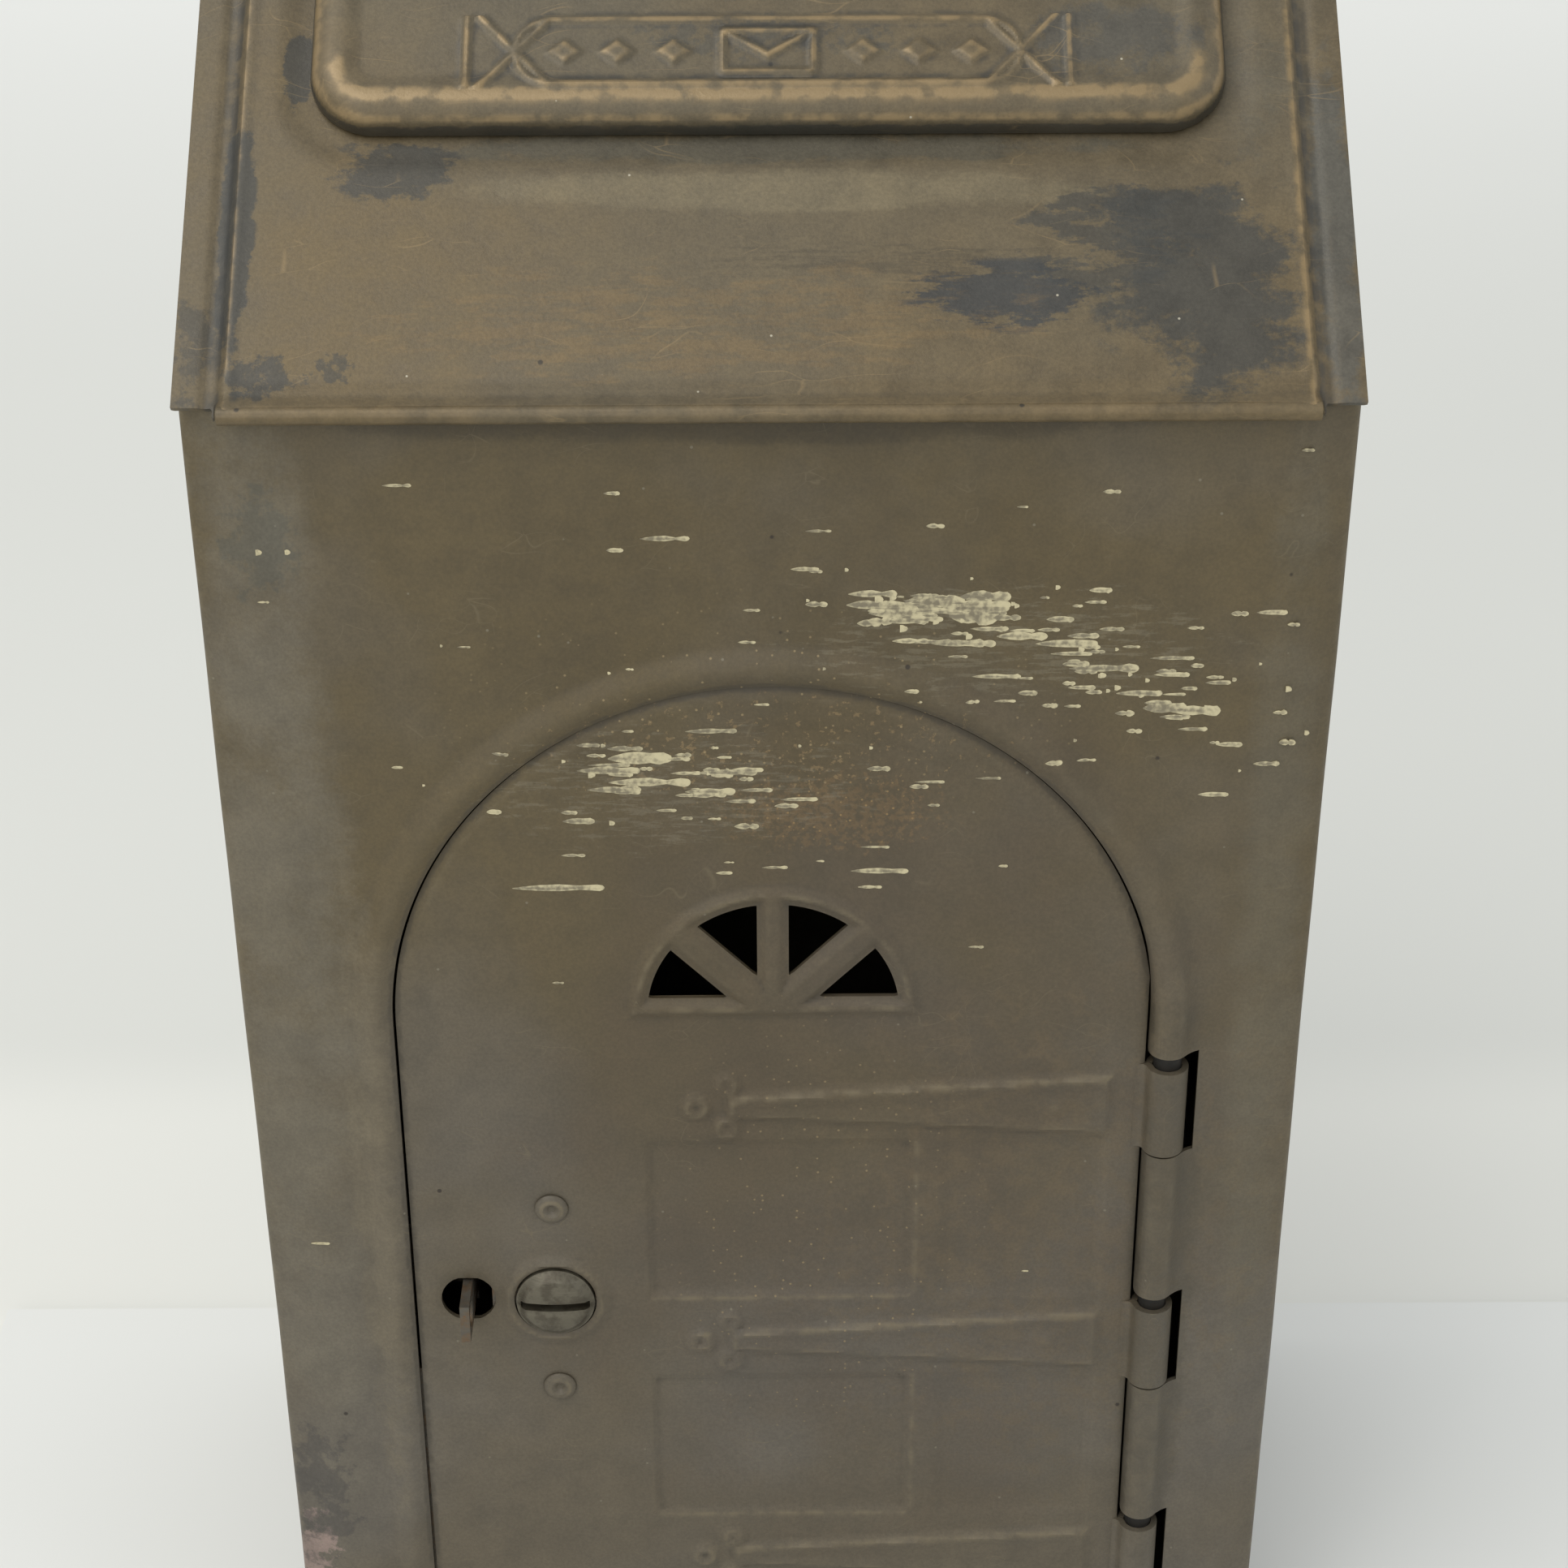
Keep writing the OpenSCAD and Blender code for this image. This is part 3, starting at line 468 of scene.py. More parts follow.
# Finishes
def enamel(name, look):
    material, tree, shader, place = newMaterial(name, look["roughness"], look["metallic"])
    spot, specks = groups["spot"], groups["specks"]
    height = addNode(tree, "SeparateXYZ", {"Vector": place}).outputs["Z"]
    ridge = addNode(tree, "Attribute", attribute_name="ridge").outputs["Fac"]
    # the paint turns from the warm colour to the grey one downwards, broken by noise
    downwardTone = calc(tree, "ADD", ramp(tree, height, look["greyFrom"], look["greyTo"], 0.0, 0.8),
                ramp(tree, noise(tree, place, 0.022, 4.0), 0.35, 0.7, -0.25, 0.35))
    colour = blend(tree, downwardTone, look["warm"], look["grey"])
    fine = noise(tree, place, 1.1, 6.0, 0.75)
    for item in look["places"]:  # stains, rubbed places, and some painted shade and painted light: where, how far, and the paint that shows there
        where = useGroup(tree, spot, {"Vector": place, "Centre": item["at"], "Reach": item["reach"],
                                      "Softness": 0.75})[0]
        grain = stretch(tree, place, item.get("grain", (1, 1, 1)))
        loose = ramp(tree, noise(tree, grain, item["scale"], 7.0, 0.66), 0.2, 0.8, 0.12, 0.58)
        broken = calc(tree, "ADD", loose, calc(tree, "MULTIPLY", fine, 0.3))
        level = calc(tree, "ADD", calc(tree, "MULTIPLY", where, item["fill"]), broken)
        mask = ramp(tree, level, item["edge"], item["edge"] + item["blur"])
        mask = calc(tree, "MULTIPLY", mask, item["share"])
        mask = calc(tree, "MULTIPLY", mask, ramp(tree, where, 0.0, 0.35))
        colour = blend(tree, mask, colour, item["paint"])
    mottle = noise(tree, place, 0.16, 8.0, 0.7)
    colour = blend(tree, look["mottle"], colour, ramp(tree, mottle, 0.25, 0.75, 0.0, 1.0), "OVERLAY")
    grit = noise(tree, place, 1.9, 4.0, 0.7)
    colour = blend(tree, look["grit"], colour, ramp(tree, grit, 0.3, 0.7, 0.0, 1.0), "OVERLAY")
    wearAndHighlightMasks = useGroup(tree, groups["wearAndHighlightMasks"], {"Vector": place, "Ridge": ridge, "Gain": look["wearAndHighlightGain"]})
    colour = blend(tree, calc(tree, "MULTIPLY", wearAndHighlightMasks["Grime"], look["grimeShare"]), colour, look["grime"])
    # rubbed paint, together with painted highlights that the creases add, takes the worn colour
    colour = blend(tree, calc(tree, "MULTIPLY", wearAndHighlightMasks["WearAndHighlightMask"], look["wearAndHighlightShare"]), colour, look["wearAndHighlight"])
    scratches = {"Vector": place, "Scale": look["scratchScale"], "Width": 0.014}
    scratched = useGroup(tree, groups["scratches"], scratches)[0]
    colour = blend(tree, calc(tree, "MULTIPLY", scratched, 0.32), colour, look["wearAndHighlight"])
    for item in look["specks"]:
        dots = useGroup(tree, specks, {"Vector": place, "Scale": item["scale"], "Size": item["size"],
                                       "Amount": item["amount"]})[0]
        if "at" in item:
            where = {"Vector": place, "Centre": item["at"], "Reach": item["reach"], "Softness": 0.7}
            dots = calc(tree, "MULTIPLY", dots, useGroup(tree, spot, where)[0])
        colour = blend(tree, calc(tree, "MULTIPLY", dots, item["share"]), colour, item["paint"])
    tree.links.new(colour, shader.inputs["Base Color"])
    rough = ramp(tree, mottle, 0.3, 0.7, look["roughness"] - 0.07, look["roughness"] + 0.1)
    rough = calc(tree, "SUBTRACT", rough, calc(tree, "MULTIPLY", wearAndHighlightMasks["WearAndHighlightMask"], 0.12))
    tree.links.new(rough, shader.inputs["Roughness"])
    surface = calc(tree, "ADD", calc(tree, "MULTIPLY", grit, 0.35), mottle)
    bump = addNode(tree, "Bump", {"Strength": look["bump"], "Distance": 0.0004, "Height": surface})
    tree.links.new(bump.outputs["Normal"], shader.inputs["Normal"])
    return material


def roofSpot(x, s):  # a place on the roof, from its distance up the slope
    return tuple(float(v) for v in onRoof(x, s, 2.0))


rust = paint(112, 76, 42)
slate = paint(53, 53, 49)
bodyLook = {
    "roughness": 0.55,
    "metallic": 0.2,
    "greyFrom": 70,
    "greyTo": -110,
    "warm": paint(84, 73, 50),
    "grey": paint(90, 84, 74),
    "grime": paint(52, 47, 38),
    "wearAndHighlight": paint(112, 101, 78),
    "grimeShare": 0.5,
    "wearAndHighlightShare": 0.55,
    "wearAndHighlightGain": 0.7,
    "mottle": 0.16,
    "grit": 0.10,
    "bump": 0.25,
    "scratchScale": (0.035, 1.0, 0.2),
    "places": [
        # painted shade: the top middle of the front painted darker, as it takes less light than the margins
        {"at": (4, -98, 62), "reach": (72, 60, 44), "scale": 0.05, "fill": 0.25, "edge": 0.5,
         "blur": 0.4, "share": 0.6, "paint": paint(76, 65, 42)},
        {"at": (14, -98, -30), "reach": (80, 60, 120), "scale": 0.04, "fill": 0.35, "edge": 0.5,
         "blur": 0.5, "share": 0.6, "paint": paint(71, 61, 48)},
        # painted light: the left margin painted paler and greyer, as that side takes more light
        {"at": (-74, -98, 0), "reach": (15, 60, 170), "scale": 0.06, "fill": 0.4, "edge": 0.5,
         "blur": 0.5, "share": 0.7, "paint": paint(101, 95, 82)},
        {"at": (-63, -100, -40), "reach": (5, 12, 90), "scale": 0.2, "fill": 0.3, "edge": 0.45,
         "blur": 0.4, "share": 0.5, "paint": paint(104, 95, 77)},
        # painted light: the right margin painted paler, as it takes more light
        {"at": (75, -98, 10), "reach": (8, 60, 110), "scale": 0.06, "fill": 0.35, "edge": 0.5,
         "blur": 0.4, "share": 0.5, "paint": paint(94, 88, 73)},
        # painted shadow: a dark band across the top of the front, under the eave's overhang
        {"at": (0, -98, 91.5), "reach": (86, 9, 6), "scale": 0.05, "fill": 0.6, "edge": 0.5,
         "blur": 0.4, "share": 0.6, "paint": paint(54, 47, 33)},
        {"at": (45, -98, -50), "reach": (60, 60, 75), "scale": 0.3, "fill": 0.16, "edge": 0.58,
         "blur": 0.2, "share": 0.22, "paint": paint(100, 85, 60)},
        {"at": (-73, -96, 72), "reach": (9, 20, 14), "scale": 0.25, "fill": 0.28, "edge": 0.66,
         "blur": 0.12, "share": 0.4, "paint": paint(66, 69, 64)},
        {"at": (8, -98, 28), "reach": (26, 20, 10), "scale": 0.9, "fill": 0.2, "edge": 0.62,
         "blur": 0.12, "share": 0.4, "paint": paint(112, 90, 60)},
        # painted shade on the hinge barrel, dulling its lit crest
        {"at": (62, -101, -60), "reach": (8, 12, 75), "scale": 0.1, "fill": 0.4, "edge": 0.45,
         "blur": 0.3, "share": 0.5, "paint": paint(72, 66, 53)},
        {"at": (0, -98, 40), "reach": (60, 20, 16), "scale": 0.8, "fill": 0.14, "edge": 0.72,
         "blur": 0.06, "share": 0.6, "paint": paint(124, 104, 72)},
        {"at": (-78, -96, -118), "reach": (9, 24, 17), "scale": 0.22, "fill": 0.25, "edge": 0.64,
         "blur": 0.1, "share": 0.8, "paint": paint(136, 118, 110)},
        {"at": (-76, -96, -104), "reach": (11, 24, 26), "scale": 0.2, "fill": 0.2, "edge": 0.62,
         "blur": 0.12, "share": 0.6, "paint": paint(64, 61, 58)},
        {"at": (34, -98, 56), "reach": (48, 20, 15), "scale": 0.9, "grain": (0.2, 1, 1.3), "fill": 0.2,
         "edge": 0.68, "blur": 0.1, "share": 0.3, "paint": paint(118, 111, 92)},
        {"at": (-14, -98, 32), "reach": (46, 20, 17), "scale": 0.9, "grain": (0.2, 1, 1.3), "fill": 0.2,
         "edge": 0.68, "blur": 0.1, "share": 0.3, "paint": paint(116, 109, 92)},
    ],
    "specks": [
        {"scale": 0.11, "size": 0.055, "amount": 0.3, "share": 0.8, "paint": paint(32, 24, 18)},
        {"scale": 0.27, "size": 0.075, "amount": 0.25, "share": 0.55, "paint": paint(122, 116, 100)},
        {"scale": 1.3, "size": 0.3, "amount": 0.35, "share": 0.75, "paint": paint(140, 114, 74),
         "at": (10, -98, 29), "reach": (22, 20, 9)},
        {"scale": 0.9, "size": 0.22, "amount": 0.22, "share": 0.7, "paint": paint(142, 124, 90),
         "at": (0, -98, 46), "reach": (62, 20, 24)},
        {"scale": 0.9, "size": 0.22, "amount": 0.3, "share": 0.7, "paint": paint(136, 118, 86),
         "at": (8, -98, -50), "reach": (34, 20, 60)},
    ],
}
hoodLook = {
    "roughness": 0.46,
    "metallic": 0.3,
    "greyFrom": 200,
    "greyTo": 90,
    "warm": paint(80, 74, 60),
    "grey": paint(91, 78, 54),
    "grime": paint(46, 46, 43),
    "wearAndHighlight": paint(138, 117, 82),
    "grimeShare": 0.7,
    "wearAndHighlightShare": 0.7,
    "wearAndHighlightGain": 1.0,
    "mottle": 0.2,
    "grit": 0.12,
    "bump": 0.25,
    "scratchScale": (0.03, 0.25, 0.25),
    "places": [
        {"at": roofSpot(0, 33), "reach": (62, 5, 4.5), "scale": 0.12, "grain": (0.3, 1, 1), "fill": 0.4,
         "edge": 0.55, "blur": 0.3, "share": 0.5, "paint": paint(110, 100, 77)},
        {"at": roofSpot(61, 19), "reach": (22, 27, 24), "scale": 0.1, "grain": (0.7, 1.2, 1.2),
         "fill": 0.26, "edge": 0.56, "blur": 0.16, "share": 0.85, "paint": slate},
        {"at": roofSpot(48, 25), "reach": (18, 15, 13), "scale": 0.2, "grain": (0.45, 1.5, 1.5),
         "fill": 0.2, "edge": 0.6, "blur": 0.1, "share": 0.7, "paint": slate},
        {"at": roofSpot(33, 16), "reach": (19, 8, 7), "scale": 0.22, "grain": (0.45, 1.8, 1.8),
         "fill": 0.3, "edge": 0.6, "blur": 0.1, "share": 0.9, "paint": paint(50, 51, 50)},
        {"at": roofSpot(12, 22), "reach": (44, 5, 4.5), "scale": 0.3, "grain": (0.15, 1.8, 1.8),
         "fill": 0.2, "edge": 0.64, "blur": 0.1, "share": 0.5, "paint": paint(66, 59, 45)},
        {"at": roofSpot(0, 40.5), "reach": (70, 4.2, 3.8), "scale": 0.2, "grain": (0.4, 1, 1),
         "fill": 0.42, "edge": 0.6, "blur": 0.2, "share": 0.6, "paint": paint(68, 66, 56)},
        {"at": roofSpot(-53, 37), "reach": (13, 8, 7), "scale": 0.22, "grain": (0.6, 1.2, 1.2),
         "fill": 0.26, "edge": 0.58, "blur": 0.12, "share": 0.8, "paint": slate},
        {"at": roofSpot(-75, 26), "reach": (3.8, 28, 25), "scale": 0.2, "fill": 0.5, "edge": 0.62,
         "blur": 0.12, "share": 0.85, "paint": slate},
        {"at": roofSpot(-70, 4), "reach": (9, 6, 5), "scale": 0.35, "fill": 0.26, "edge": 0.6,
         "blur": 0.12, "share": 0.8, "paint": slate},
        {"at": roofSpot(-60, 5), "reach": (4, 4, 4), "scale": 0.5, "fill": 0.3, "edge": 0.64,
         "blur": 0.14, "share": 0.7, "paint": slate},
        {"at": roofSpot(-80, 8), "reach": (5, 14, 12), "scale": 0.3, "fill": 0.24, "edge": 0.6,
         "blur": 0.14, "share": 0.6, "paint": slate},
        {"at": roofSpot(-67.5, 54), "reach": (3, 10, 9), "scale": 0.3, "fill": 0.4, "edge": 0.62,
         "blur": 0.1, "share": 0.8, "paint": slate},
        {"at": roofSpot(80, 25), "reach": (4.6, 44, 40), "scale": 0.2, "fill": 0.4, "edge": 0.5,
         "blur": 0.3, "share": 0.75, "paint": paint(74, 74, 69)},
        {"at": roofSpot(71, 50), "reach": (9, 22, 20), "scale": 0.1, "fill": 0.2, "edge": 0.55,
         "blur": 0.3, "share": 0.45, "paint": paint(80, 77, 66)},
        {"at": roofSpot(50, 56), "reach": (20, 13, 12), "scale": 0.15, "fill": 0.35, "edge": 0.6,
         "blur": 0.2, "share": 0.7, "paint": paint(66, 65, 60)},
        {"at": roofSpot(0, 56), "reach": (42, 7, 7), "scale": 0.3, "fill": 0.3, "edge": 0.58,
         "blur": 0.15, "share": 0.6, "paint": paint(62, 61, 55)},
        {"at": roofSpot(0, 70), "reach": (62, 12, 11), "scale": 0.12, "grain": (0.5, 1, 1),
         "fill": 0.34, "edge": 0.6, "blur": 0.14, "share": 0.75, "paint": paint(60, 60, 55)},
        {"at": roofSpot(-10, 12), "reach": (66, 14, 13), "scale": 0.4, "grain": (0.3, 1.2, 1.2),
         "fill": 0.2, "edge": 0.58, "blur": 0.2, "share": 0.4, "paint": paint(108, 88, 56)},
    ],
    "specks": [
        {"scale": 0.12, "size": 0.06, "amount": 0.3, "share": 0.8, "paint": paint(36, 34, 30)},
        {"scale": 0.3, "size": 0.07, "amount": 0.12, "share": 0.8, "paint": paint(170, 164, 146)},
    ],
}


def bareMetal(name, look):
    material, tree, shader, place = newMaterial(name, look["roughness"], look["metallic"])
    stain = useGroup(tree, groups["patches"], {"Vector": place, "Scale": look["stainScale"], "Detail": 6.0,
                                               "Low": 0.42, "High": 0.64})[0]
    colour = blend(tree, calc(tree, "MULTIPLY", stain, look["stainShare"]), look["metal"], look["stain"])
    dots = useGroup(tree, groups["specks"], {"Vector": place, "Scale": 0.8, "Size": 0.3,
                                             "Amount": look["pits"]})[0]
    colour = blend(tree, calc(tree, "MULTIPLY", dots, 0.6), colour, look["pit"])
    tree.links.new(colour, shader.inputs["Base Color"])
    brushed = noise(tree, stretch(tree, place, look["brush"]), 1.0, 4.0)
    rough = ramp(tree, brushed, 0.3, 0.7, look["roughness"] - 0.08, look["roughness"] + 0.12)
    tree.links.new(rough, shader.inputs["Roughness"])
    bump = addNode(tree, "Bump", {"Strength": 0.3, "Distance": 0.0002, "Height": brushed})
    tree.links.new(bump.outputs["Normal"], shader.inputs["Normal"])
    return material


def creamPaint(name, look):
    material, tree, shader, place = newMaterial(name, 0.55, 0.0)
    thin = addNode(tree, "Attribute", attribute_name="thin").outputs["Fac"]
    cloud = noise(tree, place, 1.1, 5.0)
    level = calc(tree, "ADD", thin, ramp(tree, cloud, 0.35, 0.65, -0.3, 0.3))
    colour = blend(tree, ramp(tree, level, 0.0, 1.1), look["thick"], look["smeared"])
    tree.links.new(colour, shader.inputs["Base Color"])
    bump = addNode(tree, "Bump", {"Strength": 0.3, "Distance": 0.0002, "Height": cloud})
    tree.links.new(bump.outputs["Normal"], shader.inputs["Normal"])
    return material


finishes = {
    "body": enamel("agedBodyEnamel", bodyLook),
    "hood": enamel("wornHoodEnamel", hoodLook),
    "steel": bareMetal("bareSteel", {
        "roughness": 0.42, "metallic": 0.85, "metal": paint(150, 148, 142), "stain": paint(112, 98, 78),
        "stainScale": 0.3, "stainShare": 0.6, "pits": 0.2, "pit": rust, "brush": (0.4, 0.4, 3.0)}),
    "dark": bareMetal("darkenedSteel", {
        "roughness": 0.5, "metallic": 0.7, "metal": paint(92, 88, 80), "stain": paint(106, 84, 60),
        "stainScale": 0.35, "stainShare": 0.7, "pits": 0.3, "pit": rust, "brush": (0.5, 0.5, 2.0)}),
    "oily": bareMetal("oilyPin", {
        "roughness": 0.6, "metallic": 0.4, "metal": paint(27, 25, 22), "stain": paint(36, 30, 23),
        "stainScale": 0.4, "stainShare": 0.6, "pits": 0.1, "pit": rust, "brush": (0.5, 0.5, 1.0)}),
    "plug": bareMetal("tarnishedPlug", {
        "roughness": 0.4, "metallic": 0.55, "metal": paint(93, 88, 75), "stain": paint(66, 60, 49),
        "stainScale": 0.4, "stainShare": 0.8, "pits": 0.15, "pit": paint(80, 72, 58),
        "brush": (0.3, 1.0, 3.0)}),
    "splash": creamPaint("driedCreamPaint", {
        "thick": paint(182, 172, 138), "smeared": paint(112, 104, 84)}),
}
print("finishes made")


# Front and side walls
def beadOut(x, z):  # signed distance across the bead, and its radius, beside a place on the front
    above = z > opening["springZ"]
    turn = np.arctan2(z - opening["springZ"], x)
    toRight = 1 - soft(turn / 0.5)
    line = opening["beadLine"] + (hinge["x"] - opening["beadLine"]) * toRight
    radius = opening["beadRadius"] + (hinge["barrel"] - opening["beadRadius"]) * toRight
    across = np.hypot(x, z - opening["springZ"]) - line
    right = x > 0
    across = np.where(above, across, np.where(right, x - hinge["x"], -x - opening["beadLine"]))
    radius = np.where(above, radius, np.where(right, hinge["barrel"], opening["beadRadius"]))
    below = np.maximum(opening["footZ"] - z, 0)
    rise = np.where(above, toRight, right)
    rise = opening["beadRise"] + (1 - opening["beadRise"]) * rise
    return np.where(below > 0, np.hypot(across, below), across), radius, rise


def beadHeight(x, z):
    across, radius, rise = beadOut(x, z)
    share = across / radius
    filletFrom = 0.78
    crown = np.sqrt(np.maximum(1 - share ** 2, 0))
    fillet = 0.626 * np.maximum(1 - (share - filletFrom) / 1.25, 0) ** 2.3
    rounded = np.where(share > filletFrom, fillet, crown)
    gentle = np.cos(np.clip(share / 1.35, -1, 1) * math.pi / 2) ** 1.5
    fullness = (rise - opening["beadRise"]) / (1 - opening["beadRise"])
    return radius * (rise * gentle + fullness * (rounded - gentle))


def wallHeight(q, z):
    flat = np.abs(q) < marginX
    eave = -0.25 * soft((z - box["eaveZ"] + 9) / 6) * flat
    return np.where(flat, beadHeight(q, z), 0) + dents(q, z, 19, 0.16, 0.7) + eave


def wallCreases(q, z):
    a = np.abs(q)
    seam = archDepth(q, z, opening["arch"] + opening["gap"])
    wearAndHighlight = 0.12 * hump(a - marginX, 0.9) + 0.25 * hump(a - cornerQ, 1.0)
    return wearAndHighlight - 0.5 * hump(seam, 0.7) * (a < marginX)


# rays run from the door opening to the margins, so the mesh follows the bead
def frontPattern():
    offsets = [0, 0.06, 0.2, 0.45, 0.8, 1.2, 1.7, 2.3, 2.9, 3.5, 4.1, 4.7, 5.3, 5.9, 6.6, 7.2, 7.86, 8.6]
    slotColumn = 16
    leftRows, sideTurns, topTurns, outSteps, footSteps, sillSteps = 66, 46, 70, 10, 7, 40
    edge = opening["arch"] + opening["gap"]
    foot = opening["footZ"] - opening["gap"]
    leftX, rightX = -edge, hinge["x"] - hinge["barrel"]
    innerQ = 72
    rooms = [(z - hinge["height"] / 2 - hinge["roomGap"], z + hinge["height"] / 2 + hinge["roomAbove"])
             for z in knuckleZs]
    stops = sorted([foot] + [z for room in rooms for z in room] + [opening["springZ"]], reverse=True)
    rightZ = []
    for top, low in zip(stops[:-1], stops[1:]):
        rightZ += list(np.linspace(top, low, max(2, round((top - low) / 1.6)))[:-1])
    rightZ = rightZ[1:] + [foot]
    leftZ = np.linspace(foot, opening["springZ"], leftRows)[:-1]
    rise = box["eaveZ"] - opening["springZ"]
    cornerTurn = math.atan2(rise, innerQ)
    turns = np.concatenate([np.linspace(math.pi, math.pi - cornerTurn, sideTurns)[:-1],
                            np.linspace(math.pi - cornerTurn, cornerTurn, topTurns)[:-1],
                            np.linspace(cornerTurn, 0, sideTurns)])
    rays = [(leftX, z, -1.0, 0.0, "side") for z in leftZ]
    for turn in turns:
        start = edge + (rightX - edge) * float(1 - soft(turn / 0.3))
        away = (math.cos(turn), math.sin(turn))
        onSide = abs(away[1] * innerQ) <= abs(away[0] * rise) + 1e-6
        rays.append((start * away[0], opening["springZ"] + start * away[1], *away,
                     "side" if onSide else "top"))
    rays += [(rightX, z, 1.0, 0.0, "side") for z in rightZ]
    table, points, faces = {}, [], []

    def corner(q, z):
        key = (round(q, 3), round(z, 3))
        if key not in table:
            table[key] = len(points)
            points.append((q, z))
        return table[key]

    rows = []
    for x, z, awayX, awayZ, ends in rays:
        reach = (innerQ - abs(x)) / abs(awayX) if ends == "side" else (box["eaveZ"] - z) / awayZ
        steps = offsets + list(np.linspace(offsets[-1], max(reach, offsets[-1] + 1), outSteps)[1:])
        rows.append([corner(x + s * awayX, z + s * awayZ) for s in steps])
    for k in range(len(rows) - 1):
        middle = (rays[k][1] + rays[k + 1][1]) / 2
        inRoom = rays[k][0] > 0 and rays[k + 1][2] == 1.0 and any(low < middle < top for low, top in rooms)
        for m in range(slotColumn if inRoom else 0, len(rows[k]) - 1):
            faces.append([rows[k][m], rows[k + 1][m], rows[k + 1][m + 1], rows[k][m + 1]])
    columns = np.array([innerQ, 72.7, 73.2, 73.8, 74.4, 75.3, 77, 79, 80, 80.5, 80.9, 81.3, 81.7, 82.1, 82.7,
                        84, 88, 97, 110, 124, 138, 152, 166, wallEndQ])
    columns = np.where(columns > wallEndQ, wallEndQ, columns)

    def fanned(q, z):  # rows spread towards the back, so that they end along the roof
        scale = (roofLine(wallY(q)) - box["footZ"]) / (box["eaveZ"] - box["footZ"])
        return box["footZ"] + (z - box["footZ"]) * (scale if abs(q) > innerQ + 0.01 else 1)

    def sideBlock(zs, side):  # zs run upwards on the left and downwards on the right
        for low, high in zip(zs[:-1], zs[1:]):
            for a, b in zip(columns[:-1], columns[1:]):
                faces.append([corner(side * a, fanned(a, low)), corner(side * a, fanned(a, high)),
                              corner(side * b, fanned(b, high)), corner(side * b, fanned(b, low))])

    sideRays = [k for k, ray in enumerate(rays) if ray[4] == "side"]
    ends = [points[rows[k][-1]] for k in sideRays]
    sideBlock([z for q, z in ends if q < 0], -1)
    sideBlock([z for q, z in ends if q > 0], 1)
    footRows = np.linspace(box["footZ"], foot, footSteps)
    across = [points[k][0] for k in rows[0]][::-1]
    across = across + list(np.linspace(leftX, rightX, sillSteps)[1:-1])
    across = across + [points[k][0] for k in rows[-1]]
    for a, b in zip(footRows[:-1], footRows[1:]):
        for left, right in zip(across[:-1], across[1:]):
            faces.append([corner(left, a), corner(right, a), corner(right, b), corner(left, b)])
    sideBlock(list(footRows), -1)
    sideBlock(list(footRows)[::-1], 1)
    return np.array(points), faces


# outline of a sheet that runs in flat from a tongue and then rolls round a pin
def rolled(centre, radius, wall, tongue, endTurn):
    x, out = centre
    startTurn = math.radians(152)
    meet = (x + radius * math.cos(startTurn), out + radius * math.sin(startTurn))
    outer = [(tongue, out), ((tongue + meet[0]) / 2 - 0.3, out), (meet[0] - 0.75, out + 0.12),
             (meet[0] - 0.3, out + 0.55)]
    turns = np.linspace(startTurn, endTurn, 34)
    outer += [(x + radius * math.cos(a), out + radius * math.sin(a)) for a in turns]
    outer = np.array(outer)
    run = np.gradient(outer, axis=0)
    run /= np.hypot(run[:, 0], run[:, 1])[:, None]
    inner = outer + wall * np.column_stack([run[:, 1], -run[:, 0]])
    return np.vstack([outer, inner[::-1]])


def tube(x, out, outerRadius, innerRadius, low, high, place):
    bevel = 0.15
    steps = 36
    profile = [(innerRadius, low + bevel), (innerRadius + bevel, low), (outerRadius - bevel, low),
               (outerRadius, low + bevel), (outerRadius, high - bevel), (outerRadius - bevel, high),
               (innerRadius + bevel, high), (innerRadius, high - bevel)]
    part = turned(profile, lambda a, b, d: place(x + a, out + b, d), steps)
    last = len(part["points"]) - steps
    part["faces"] += [[last + k, last + (k + 1) % steps, (k + 1) % steps, k] for k in range(steps)]
    return part


def upright(a, b, z):  # a plan (x, out) carried up the front
    return np.stack([a + 0 * z, box["frontY"] - b + 0 * z, z + 0 * a], axis=-1)


def flipped(part):
    part["faces"] = [f[::-1] for f in part["faces"]]
    return part


def barrels():
    parts = []
    radius = hinge["barrel"] - 0.04
    tops = [opening["springZ"] - 1] + [z - hinge["height"] / 2 - hinge["roomGap"] for z in knuckleZs]
    lows = [z + hinge["height"] / 2 + hinge["roomAbove"] for z in knuckleZs] + [opening["footZ"]]
    for top, low in zip(tops, lows):
        if top - low > 0.8:
            parts.append(flipped(tube(hinge["x"], 0.0, radius, hinge["pin"], low, top, upright)))
    return parts


